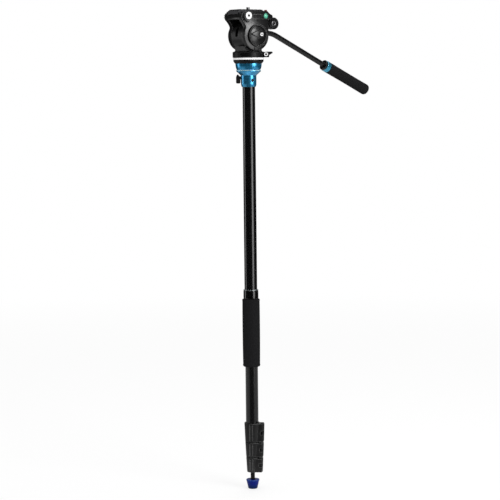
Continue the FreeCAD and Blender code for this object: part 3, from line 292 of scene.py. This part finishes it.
def turnedMetal(name, colour, roughness, axis, pitch=2200, shade=0.75, metallic=1.0):
    # Machined metal: fine rings across the axis it was turned on
    values = turnedSettings
    paint = Paint(name)
    stretch = tuple(1 if letter == axis else values["squeeze"] for letter in "xyz")
    rings = paint.noise(pitch, 2, stretch)
    clouds = paint.noise(values["cloudScale"])
    edge = paint.edgeMask(values["edgeWidth"], values["edgeStrength"])
    deep = tuple(level * shade for level in colour)
    bright = tuple(min(1, level * values["paler"] + values["gleam"]) for level in colour)
    paling = clouds * values["cloudShare"] + edge * values["edgeShare"]
    paint.set(BaseColor=paint.tint(paling, deep, bright), Metallic=metallic)
    paint.set(Roughness=paint.about(rings, roughness, values["smoother"], values["rougher"]))
    ground = paint.softEdges(values["bevel"])
    paint.set(Normal=paint.bump(rings, values["ringDepth"], values["ringBump"], ground))
    return paint.material


foamSettings = {
    "colour": (0.0042, 0.0042, 0.0046), "paler": 1.9, "dust": 0.004, "pitScale": 900, "hollow": 1.4,
    "fineScale": 2250, "roughness": (0.82, 0.98), "pitShare": 0.7, "fineShare": 0.3,
    "depth": 0.00035, "bump": 0.6, "shine": 0.08,
}


def foamRubber():
    # Closed-cell foam: small pits with painted shade in their middles and paler walls
    values = foamSettings
    paint = Paint("gripFoam")
    pits = paint.cells(values["pitScale"])
    fine = paint.noise(values["fineScale"])
    # Pit middles kept dark as painted shade; walls paler
    walls = paint.clamped(pits * values["hollow"])
    pale = tuple(level * values["paler"] + values["dust"] for level in values["colour"])
    paint.set(BaseColor=paint.tint(walls, values["colour"], pale))
    paint.set(Roughness=paint.between(fine, *values["roughness"]))
    height = pits * values["pitShare"] + fine * values["fineShare"]
    paint.set(Normal=paint.bump(height, values["depth"], values["bump"]))
    paint.set(SpecularIORLevel=values["shine"])
    return paint.material


footSettings = {
    "colour": (0.0003, 0.009, 0.15), "grimy": (0.0003, 0.016, 0.03), "rubbed": (0.05, 0.16, 0.45),
    "grimeHeight": 0.011, "mottleScale": 160, "mottle": (0.5, 1.2), "rimWidth": 0.0012,
    "rimStrength": 2.5, "roughScale": 420, "roughness": (0.34, 0.5), "grainScale": 1500,
    "grainDepth": 0.00005, "grainBump": 0.4, "shine": 0.1,
}


def footRubber():
    # Blue moulded rubber, darker and mottled towards the sole, and painted paler on its rim as a painted
    # highlight
    values = footSettings
    paint = Paint("footRubber")
    height = paint.node("SeparateXYZ", None, {"Vector": paint.place()}, 2)
    soleward = paint.ranged(height, 0.0, values["grimeHeight"], 1.0, 0.0)
    mottled = soleward * paint.between(paint.noise(values["mottleScale"], 5), *values["mottle"])
    rim = paint.edgeMask(values["rimWidth"], values["rimStrength"])
    worn = paint.tint(paint.clamped(mottled), values["colour"], values["grimy"])
    # Rim painted paler: a painted highlight
    paint.set(BaseColor=paint.tint(rim, worn, values["rubbed"]))
    paint.set(Roughness=paint.between(paint.noise(values["roughScale"]), *values["roughness"]))
    grain = paint.noise(values["grainScale"], 2)
    ground = paint.softEdges(values["rimWidth"])
    paint.set(Normal=paint.bump(grain, values["grainDepth"], values["grainBump"], ground))
    paint.set(SpecularIORLevel=values["shine"])
    return paint.material


dyeSettings = {
    "ringScale": 2600, "squeeze": (0.02, 0.02, 1), "ringDepth": 0.00002, "ringBump": 0.3,
    "dyeScale": 24, "dyeShare": 0.3, "edgeWidth": 0.0011, "edgeStrength": 3.0, "edgeShare": 0.9,
    "bevel": 0.0009, "smoother": 0.04, "rougher": 0.06, "coat": 1.0, "coatRoughness": 0.14,
}


def anodised(name, deep, bright, roughness, metallic):
    # Dyed aluminium: turned rings under a clear, slightly uneven dye, with edges painted towards the
    # bright colour as a painted highlight
    values = dyeSettings
    paint = Paint(name)
    rings = paint.noise(values["ringScale"], 2, values["squeeze"])
    dye = paint.noise(values["dyeScale"])
    # Edges painted towards the bright colour: a painted highlight
    edge = paint.edgeMask(values["edgeWidth"], values["edgeStrength"])
    shade = dye * values["dyeShare"] + edge * values["edgeShare"]
    paint.set(BaseColor=paint.tint(shade, deep, bright), Metallic=metallic)
    paint.set(Roughness=paint.about(rings, roughness, values["smoother"], values["rougher"]))
    ground = paint.softEdges(values["bevel"])
    paint.set(Normal=paint.bump(rings, values["ringDepth"], values["ringBump"], ground))
    paint.set(CoatWeight=values["coat"], CoatRoughness=values["coatRoughness"])
    return paint.material


vialSettings = {
    "middle": (0.021, 0, 0.937), "bubble": (0.0216, 0, 0.9377), "bubbleEdge": (0.0013, 0.0016),
    "innerRing": 0.0021, "innerWidth": 0.00018, "outerRing": 0.0033, "outerWidth": 0.00015,
    "wall": (0.0036, 0.0052), "wallShare": 0.8, "swirlScale": 180, "swirlShare": 0.7,
    "deep": (0.05, 0.42, 0.27), "lit": (0.36, 0.86, 0.62), "line": (0.01, 0.06, 0.04),
    "roughness": (0.05, 0.1), "coat": 1.0, "coatRoughness": 0.02,
}


def vialGlass():
    # The level's window: lit green liquid with its bubble and two rings, darker towards its wall
    values = vialSettings
    paint = Paint("vialGlass")
    swirl = paint.noise(values["swirlScale"], 2)
    away = paint.distance(paint.stretched((1, 0, 1)), values["middle"])
    inner = abs(away - values["innerRing"]) < values["innerWidth"]
    outer = abs(away - values["outerRing"]) < values["outerWidth"]
    off = paint.distance(paint.stretched((1, 0, 1)), values["bubble"])
    bubble = paint.ranged(off, *values["bubbleEdge"], 1.0, 0.0)
    wall = paint.ranged(away, *values["wall"], 0.0, 1.0)
    level = paint.clamped(swirl * values["swirlShare"] + bubble - wall * values["wallShare"])
    liquid = paint.tint(level, values["deep"], values["lit"])
    paint.set(BaseColor=paint.tint(paint.clamped(inner + outer), liquid, values["line"]))
    paint.set(Roughness=paint.between(swirl, *values["roughness"]))
    paint.set(CoatWeight=values["coat"], CoatRoughness=values["coatRoughness"])
    return paint.material


# Silvered caps, painted near-white as a painted reflection: the middle and radius of the key socket,
# which gets painted shade, and the axes that its distance counts
capSettings = {
    "qr_bolt": {"name": "boltCap", "middle": (-0.0219, 0, 0.9372), "socket": 0.0024, "axes": (1, 0, 1)},
    "dial_cap": {"name": "dialCap", "middle": (0.006, 0, 0.9014), "socket": 0.0016, "axes": (1, 0, 1)},
    "pan_lever_cap": {
        "name": "leverCap", "middle": (0.0204, -0.0304, 0.8632), "socket": 0.0019, "axes": (1, 1, 1),
    },
}
# Near-white and hardly metallic: a painted reflection on the silvered caps; the socket gets painted
# shade
capFinish = {
    "colour": (0.85, 0.85, 0.85), "shadow": (0.003, 0.003, 0.003), "fade": 1.12, "metallic": 0.05,
    "roughScale": 900, "roughness": (0.3, 0.42),
}


def paleCap(name, middle, socket, axes):
    # A near-white cap, a painted reflection, with painted shade in its key socket
    paint = Paint(name)
    away = paint.distance(paint.stretched(axes), middle)
    hollow = paint.ranged(away, socket, socket * capFinish["fade"], 1.0, 0.0)
    paint.set(BaseColor=paint.tint(hollow, capFinish["colour"], capFinish["shadow"]))
    paint.set(Metallic=capFinish["metallic"])
    paint.set(Roughness=paint.between(paint.noise(capFinish["roughScale"], 2), *capFinish["roughness"]))
    return paint.material


# The finish of each material slot
finishes = {
    "tube_black": tubeLacquer(),
    # Lock and lever plastics: edges painted much paler, a painted highlight along their outlines besides
    # rubbing
    "lock_plastic": moulded("lockPlastic", (0.002, 0.002, 0.0021), 0.42, edge=0.0011, edgeWearAndHighlight=0.09),
    "lever_plastic": moulded("leverPlastic", (0.0022, 0.0022, 0.0023), 0.36, edge=0.0018, edgeWearAndHighlight=0.18),
    "bright_steel": turnedMetal("brightSteel", (0.05, 0.05, 0.052), 0.35, "z"),
    "grip_foam": foamRubber(),
    "collar_black": moulded("collarGloss", (0.001, 0.001, 0.0011), 0.12, grain=0.000005, shine=1.0),
    "blue_anodised": anodised("blueAnodised", (0.0, 0.42, 0.9), (0.4, 0.97, 1.0), 0.28, 0.92),
    "foot_rubber": footRubber(),
    "inner_nylon": moulded("innerNylon", (0.5, 0.5, 0.47), 0.5),
    "head_black": powderCoat("headCoat", (0.0018, 0.0018, 0.002), 0.34, shine=0.6),
    # The silver ring: near-white and hardly metallic, a painted reflection of the white surroundings
    "ring_silver": turnedMetal("ringSilverPaintedReflection", (0.97, 0.97, 0.97), 0.4, "z", 400, 0.98, 0.02),
    "dark_steel": turnedMetal("darkSteel", (0.03, 0.03, 0.032), 0.4, "y"),
    "dial_black": moulded("dialPlastic", (0.002, 0.002, 0.0022), 0.36, edge=0.001, edgeWearAndHighlight=0.1),
    "vial_green": vialGlass(),
    "button_red": moulded("buttonRed", (0.16, 0.006, 0.008), 0.35),
    "pad_rubber": moulded("padRubber", (0.012, 0.012, 0.012), 0.75, grain=0.00008, shine=0.3),
    "plate_grey": turnedMetal("plateGrey", (0.075, 0.075, 0.08), 0.4, "x"),
    "bar_grey": powderCoat("barCoat", (0.002, 0.002, 0.0022), 0.22, shine=0.8, edgeWearAndHighlight=0.02),
    "ring_blue": anodised("ringBlue", (0.03, 0.5, 0.8), (0.6, 0.95, 1.0), 0.2, 0.85),
}

cheekCrown = {"middle": (0.006, 0.0, 0.893), "curve": 0.1}
dialCrown = {"middle": (-0.001, 0.0, 0.8985), "curve": 0.045}
# Cheek, dial and ring coats: edges painted much paler, a painted highlight along their rims
cheekCoat = powderCoat("cheekCoat", (0.0016, 0.0016, 0.0018), 0.3, 0.85, 0.0012, cheekCrown, 0.25)
dialCoat = powderCoat("dialCoat", (0.0014, 0.0014, 0.0016), 0.3, 0.8, 0.0009, dialCrown, 0.35)
ringCoat = powderCoat("ringCoat", (0.0012, 0.0012, 0.0014), 0.3, 0.45, 0.0012, edgeWearAndHighlight=0.35)
baseCoat = powderCoat("baseCoat", (0.0012, 0.0012, 0.0014), 0.42, 0.33, edgeWearAndHighlight=0.07)
screwSteel = turnedMetal("screwSteel", (0.3, 0.3, 0.31), 0.3, "z")
bushSteel = turnedMetal("bushSteel", (0.42, 0.42, 0.43), 0.3, "y")
# Pale finishes of the rims: painted highlights on the black collar's chamfer, the cup's lip and the
# foot's rim
rimHighlightSteel = turnedMetal("rimHighlightSteel", (0.7, 0.8, 0.82), 0.16, "z", 600, 0.9)
rimHighlightCyan = turnedMetal("rimHighlightCyan", (0.55, 0.88, 0.95), 0.2, "z", 600, 0.95, 0.3)
rimHighlightRubber = moulded("rimHighlightRubber", (0.03, 0.1, 0.4), 0.3)

# Pieces whose own finish differs from their slot's
ownFinishes = {
    "tilt_cradle": cheekCoat, "drag_dial": dialCoat, "dial_ring": ringCoat, "far_cap": ringCoat,
    "pan_base": baseCoat, "ball_ring": baseCoat, "camera_screw": screwSteel,
    "foot_stem": moulded("stemBlack", (0.002, 0.002, 0.0022), 0.25, grain=0.00001, shine=0.15),
    "lock_1_hardware": finishes["dark_steel"], "lock_2_hardware": finishes["dark_steel"],
    "lock_3_hardware": finishes["dark_steel"],
}
for capNode, capValues in capSettings.items():
    ownFinishes[capNode] = paleCap(**capValues)

for entry in frame["record"]["subparts"]:
    for slot in nodeObjects[entry["node"]].material_slots:
        slot.material = ownFinishes.get(entry["node"], finishes[entry["material_slot"]])


# Mesh building

def meshObject(name, vertices, faces, material, smooth=True):
    mesh = bpy.data.meshes.new(name)
    mesh.from_pydata(vertices, [], faces)
    mesh.materials.append(material)
    for polygon in mesh.polygons:
        polygon.use_smooth = smooth
    made = bpy.data.objects.new(name, mesh)
    bpy.context.scene.collection.objects.link(made)
    return made


def lathe(name, profile, sides, material, closed=True):
    # A turned mesh about Z from (radius, height) points; a closed profile runs back to its start
    vertices = []
    faces = []
    count = len(profile)
    for side in range(sides):
        angle = 2 * math.pi * side / sides
        for radius, height in profile:
            vertices.append((radius * math.cos(angle), radius * math.sin(angle), height))
    last = count if closed else count - 1
    for side in range(sides):
        here = side * count
        there = (side + 1) % sides * count
        for step in range(last):
            after = (step + 1) % count
            faces.append((here + step, there + step, there + after, here + after))
    return meshObject(name, vertices, faces, material)


# Foam grip on the pole

gripSettings = {
    "sides": 96, "rows": 60, "cornerSteps": 6, "crown": 0.0004, "edge": 0.003, "clearance": 0.00005,
    "taper": 0.0003,
}


def sleeveSection(low, high, bore, outer):
    # Out along the bottom, up the side with a slight crown and taper, and back in
    edge, rows, corner = gripSettings["edge"], gripSettings["rows"], gripSettings["cornerSteps"]
    lowRadius = outer - gripSettings["taper"]
    profile = [(bore, low)]
    for step in range(corner + 1):
        angle = math.pi / 2 * step / corner
        profile.append((lowRadius - edge + edge * math.sin(angle), low + edge - edge * math.cos(angle)))
    for step in range(1, rows):
        along = step / rows
        radius = lowRadius + (outer - lowRadius) * along - gripSettings["crown"] * (2 * along - 1) ** 2
        profile.append((radius, low + edge + (high - low - 2 * edge) * along))
    for step in range(corner + 1):
        angle = math.pi / 2 * step / corner
        profile.append((outer - edge + edge * math.cos(angle), high - edge + edge * math.sin(angle)))
    profile.append((bore, high))
    return profile


def buildGrip():
    low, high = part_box("grip_sleeve")
    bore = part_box("upper_tube")[1][0] + gripSettings["clearance"]
    profile = sleeveSection(low[2], high[2], bore, high[0])
    grip = lathe("gripFoamSleeve", profile, gripSettings["sides"], finishes["grip_foam"])
    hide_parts("grip_sleeve")
    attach(grip, bodyOf("grip_sleeve"))


# Highlight rims: a thin wire along an upper edge, whose pale finish is a painted highlight on that edge

rimWire = {"steps": 14, "sides": 96}
highlightRimSettings = {
    "collarHighlightRim": {"node": "grip_collar", "wire": 0.00045, "proud": 0.00008, "slot": "ring_silver"},
    "cupHighlightRim": {"node": "level_cup", "wire": 0.0007, "proud": 0.0001, "slot": "ring_blue"},
    "footHighlightRim": {"node": "foot_pad", "wire": 0.0008, "proud": 0.0, "slot": "foot_rubber"},
}


def buildHighlightRim(name, paint):
    values = highlightRimSettings[name]
    low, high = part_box(values["node"])
    wire = values["wire"]
    middle = (high[0] - wire + values["proud"], high[2] - wire + values["proud"])
    profile = []
    for step in range(rimWire["steps"]):
        angle = 2 * math.pi * step / rimWire["steps"]
        profile.append((middle[0] + wire * math.sin(angle), middle[1] + wire * math.cos(angle)))
    rim = lathe(name, profile, rimWire["sides"], paint)
    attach(rim, bodyOf(values["node"]))


buildGrip()
buildHighlightRim("collarHighlightRim", rimHighlightSteel)
buildHighlightRim("cupHighlightRim", rimHighlightCyan)
buildHighlightRim("footHighlightRim", rimHighlightRubber)
print("grip sleeve and rims built")


# Foam handle on the pan bar

handleSettings = {
    "sides": 80, "rows": 44, "tipSteps": 12, "tipCurve": 0.0055, "tipHole": 0.0002, "waist": 0.0003,
    "edge": 0.0007, "bore": 0.5, "seat": 0.0001,
}


def middleOf(node):
    low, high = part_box(node)
    return (Vector(low) + Vector(high)) / 2


def barLine():
    # The lower run's direction, from the collar's middle to the ring's
    return (middleOf("handle_ring") - middleOf("handle_collar")).normalized()


def reachOf(node, direction):
    # How far a node lies along a direction: its nearest and its farthest point
    places = [vertex.co.dot(direction) for vertex in nodeObjects[node].data.vertices]
    return min(places), max(places)


def handleSection(radius, length):
    # Out over the ring's end, along the slightly waisted side, and round the tip
    curve, edge, seat = handleSettings["tipCurve"], handleSettings["edge"], handleSettings["seat"]
    rows, tipSteps = handleSettings["rows"], handleSettings["tipSteps"]
    body = length - curve
    profile = [(radius * handleSettings["bore"], seat), (radius - edge, seat), (radius, edge)]
    for step in range(1, rows):
        along = step / rows
        waist = handleSettings["waist"] * math.sin(math.pi * along)
        profile.append((radius - waist, edge + (body - edge) * along))
    for step in range(tipSteps + 1):
        angle = math.pi / 2 * step / tipSteps
        profile.append((radius - curve + curve * math.cos(angle), body + curve * math.sin(angle)))
    profile.append((handleSettings["tipHole"], length))
    return profile


def buildHandle():
    line = barLine()
    near, far = reachOf("handle_foam", line)
    middle = middleOf("handle_ring")
    start = middle + line * (near - middle.dot(line))
    low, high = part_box("handle_foam")
    profile = handleSection((high[1] - low[1]) / 2, far - near)
    sides, foam = handleSettings["sides"], finishes["grip_foam"]
    handle = lathe("handleFoamGrip", profile, sides, foam, closed=False)
    turn = Vector((0, 0, 1)).rotation_difference(line).to_matrix().to_4x4()
    handle.data.transform(Matrix.Translation(start) @ turn)
    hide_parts("handle_foam")
    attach(handle, bodyOf("handle_foam"))


buildHandle()
print("handle built")


# Threads that the solids leave plain

threadSettings = {
    "pitch": 0.00127, "rise": 0.00022, "sink": 0.0001, "flank": 0.00045, "steps": 28, "fadeSteps": 8,
}
screwSettings = {"radius": 0.003175, "low": 0.9504, "high": 0.9540}
bushSettings = {
    "x": 0.0452, "z": 0.9231, "face": -0.0236, "back": -0.0228, "depth": -0.0165, "flange": 0.0047,
    "bore": 0.00325, "wall": 0.0004, "lip": 0.00025, "sides": 48,
    "threadStart": 0.0008, "threadEnd": 0.0014,
}


def helixRidge(name, radius, low, high, material, inward=1):
    # One V-shaped ridge wound about Z; inward -1 puts it inside a bore
    sink, flank = threadSettings["sink"], threadSettings["flank"]
    turns = (high - low) / threadSettings["pitch"]
    count = int(turns * threadSettings["steps"])
    vertices = []
    for step in range(count + 1):
        angle = 2 * math.pi * step / threadSettings["steps"]
        height = low + (high - low) * step / count
        fade = min(1, step / threadSettings["fadeSteps"], (count - step) / threadSettings["fadeSteps"])
        for out, along in ((-sink, -flank), (threadSettings["rise"] * fade, 0), (-sink, flank)):
            reach = radius + out * inward
            vertices.append((reach * math.cos(angle), reach * math.sin(angle), height + along))
    faces = [(0, 1, 2), (3 * count + 2, 3 * count + 1, 3 * count)]
    for step in range(count):
        here = 3 * step
        for side in range(3):
            after = (side + 1) % 3
            faces.append((here + side, here + 3 + side, here + 3 + after, here + after))
    return meshObject(name, vertices, faces, material, smooth=False)


def buildScrewThread():
    low, high = screwSettings["low"], screwSettings["high"]
    thread = helixRidge("screwThread", screwSettings["radius"], low, high, screwSteel)
    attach(thread, bodyOf("camera_screw"))


def buildAccessoryBush():
    # Flanged steel bush with its own thread, in the near rosette; built about Z and then turned
    face, back, depth = -bushSettings["face"], -bushSettings["back"], -bushSettings["depth"]
    flange, bore = bushSettings["flange"], bushSettings["bore"]
    wall, lip = bushSettings["wall"], bushSettings["lip"]
    root = bore - 2 * wall
    profile = [
        (bore, face - lip), (bore + lip, face), (flange - lip, face), (flange, face - lip),
        (flange, back), (bore - wall, back), (bore - wall, depth), (root, depth), (root, face - 4 * lip),
    ]
    bush = lathe("accessoryBush", profile, bushSettings["sides"], bushSteel)
    low, high = depth + bushSettings["threadStart"], face - bushSettings["threadEnd"]
    ridge = helixRidge("accessoryThread", root, low, high, bushSteel, inward=-1)
    axis = Matrix.Rotation(math.radians(90), 4, "X")
    turn = Matrix.Translation((bushSettings["x"], 0, bushSettings["z"])) @ axis
    for piece in (bush, ridge):
        piece.data.transform(turn)
        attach(piece, bodyOf("rosette_left"))


buildScrewThread()
buildAccessoryBush()
print("threads cut")


# Studio: pale floor, soft boxes and the camera at the photo's angle

lampSettings = {
    "rightBox": {"turn": 50, "distance": 2.4, "width": 1.25, "height": 1.9, "rise": 0.95, "watts": 21},
    "leftBox": {"turn": -98, "distance": 2.2, "width": 0.7, "height": 2.0, "rise": 0.7, "watts": 6.5},
    "keyBox": {"turn": 46, "distance": 1.5, "width": 0.8, "height": 0.6, "rise": 1.6, "watts": 9},
    "overBox": {"turn": 0, "distance": 0.1, "width": 1.1, "height": 1.1, "rise": 2.3, "watts": 7},
    "topBox": {"turn": 168, "distance": 1.3, "width": 1.3, "height": 1.0, "rise": 2.1, "watts": 9},
}
lampAim = Vector((0, 0, 0.5))
floorSettings = {
    "size": 30, "colour": (0.9, 0.9, 0.9), "roughness": 0.9,
    "glow": 0.72, "glowNear": 0.5, "glowFar": 3.0,
    "sweepRadius": 0.12, "sweepFade": 1.6,
    "frontEdge": 0.86, "sideEdge": 0.62, "sideLevel": 0.2, "sideReach": 1.7, "sideFade": 1.3,
}
roomSettings = {"fillLight": 0.66, "backdropEdge": -0.97, "roomEdge": -0.88, "roomLevel": 0.03}
cameraSettings = {
    "azimuth": -36.0, "distance": 3.3, "height": 0.82, "pitch": 5.889, "roll": -0.596, "shift": -0.0009,
    "lens": 120.93, "sensor": 36.0, "farClip": 100,
}


def around(turn, distance, rise):
    # A place round the pole, counted from the camera's side
    angle = math.radians(cameraSettings["azimuth"] + turn)
    return Vector((math.sin(angle) * distance, -math.cos(angle) * distance, rise))


def buildLight(name, values):
    lamp = bpy.data.lights.new(name, "AREA")
    lamp.shape = "RECTANGLE"
    lamp.size = values["width"]
    lamp.size_y = values["height"]
    lamp.energy = values["watts"]
    holder = bpy.data.objects.new(name, lamp)
    holder.location = around(values["turn"], values["distance"], values["rise"])
    holder.rotation_euler = (lampAim - holder.location).to_track_quat("-Z", "Y").to_euler()
    holder.visible_camera = False
    bpy.context.scene.collection.objects.link(holder)


def buildFloor():
    values = floorSettings
    paint = Paint("studioFloor")
    paint.set(BaseColor=values["colour"], Roughness=values["roughness"], SpecularIORLevel=0.0)
    seen = paint.rays("Is Camera Ray", "Is Transmission Ray")
    glossy = paint.rays("Is Glossy Ray") * (1 - seen)
    # To the camera the floor glows white, less so near the foot, where its shadow shows
    away = paint.node("VectorMath", {"operation": "LENGTH"}, {0: paint.place()}, 1)
    spread = paint.ranged(away, values["glowNear"], values["glowFar"], values["glow"], 1.0)
    # Reflections find a small white sweep round the foot, dim sides and a darker front
    outward = paint.node("VectorMath", {"operation": "NORMALIZE"}, {0: paint.place()})
    ahead = paint.dot(outward, tuple(around(0, 1, 0)))
    levels = values["sideLevel"], roomSettings["roomLevel"]
    sides = paint.ranged(ahead, values["sideEdge"], values["frontEdge"], *levels)
    sweep, reach = values["sweepRadius"], values["sideReach"]
    near = paint.ranged(away, sweep, sweep * values["sweepFade"], 1.0, 0.0)
    within = paint.ranged(away, reach, reach * values["sideFade"], 1.0, 0.0)
    sheet = paint.clamped(near + sides * within)
    glow = paint.node("Emission", None, {"Color": (1, 1, 1), "Strength": 1.0})
    dim = paint.node("Emission", None, {"Color": (0, 0, 0), "Strength": 0.0})
    plain = Channel(paint, paint.shader.outputs[0])
    lit = paint.node("MixShader", None, {0: glossy * (1 - sheet), 1: plain, 2: dim})
    blend = paint.node("MixShader", None, {0: seen * spread + glossy * sheet, 1: lit, 2: glow})
    paint.feed(paint.output.inputs[0], blend)
    half = values["size"] / 2
    corners = [(-half, -half, 0), (half, -half, 0), (half, half, 0), (-half, half, 0)]
    floor = meshObject("studioFloor", corners, [(0, 1, 2, 3)], paint.material, smooth=False)


def buildWorld():
    # White all round to the camera; reflections find it white only straight behind the object
    values = roomSettings
    world = bpy.data.worlds.new("studioWorld")
    bpy.context.scene.world = world
    world.use_nodes = True
    sky = Nodes(world.node_tree)
    back = sky.tree.nodes["Background"]
    back.inputs["Color"].default_value = (1, 1, 1, 1)
    facing = sky.dot(sky.node("TexCoord", output=0), tuple(around(0, 1, 0)))
    mirrored = sky.ranged(facing, values["backdropEdge"], values["roomEdge"], 1.0, values["roomLevel"])
    seen = sky.rays("Is Camera Ray", "Is Transmission Ray")
    glossy = sky.rays("Is Glossy Ray") * (1 - seen)
    plain = (1 - seen) * (1 - glossy)
    sky.feed(back.inputs["Strength"], seen + glossy * mirrored + plain * values["fillLight"])


def buildCamera():
    lens = bpy.data.cameras.new("photoCamera")
    lens.lens = cameraSettings["lens"]
    lens.sensor_width = cameraSettings["sensor"]
    lens.shift_x = cameraSettings["shift"]
    lens.clip_end = cameraSettings["farClip"]
    holder = bpy.data.objects.new("photoCamera", lens)
    bpy.context.scene.collection.objects.link(holder)
    holder.location = around(0, cameraSettings["distance"], cameraSettings["height"])
    turn = Matrix.Rotation(math.radians(cameraSettings["azimuth"]), 4, "Z")
    pitch = Matrix.Rotation(math.radians(90 - cameraSettings["pitch"]), 4, "X")
    roll = Matrix.Rotation(math.radians(cameraSettings["roll"]), 4, "Z")
    holder.rotation_euler = (turn @ pitch @ roll).to_euler()
    bpy.context.scene.camera = holder


buildFloor()
buildWorld()
for lampName, lampValues in lampSettings.items():
    buildLight(lampName, lampValues)
buildCamera()
bpy.context.scene.view_settings.view_transform = "Standard"
print("studio and camera set")
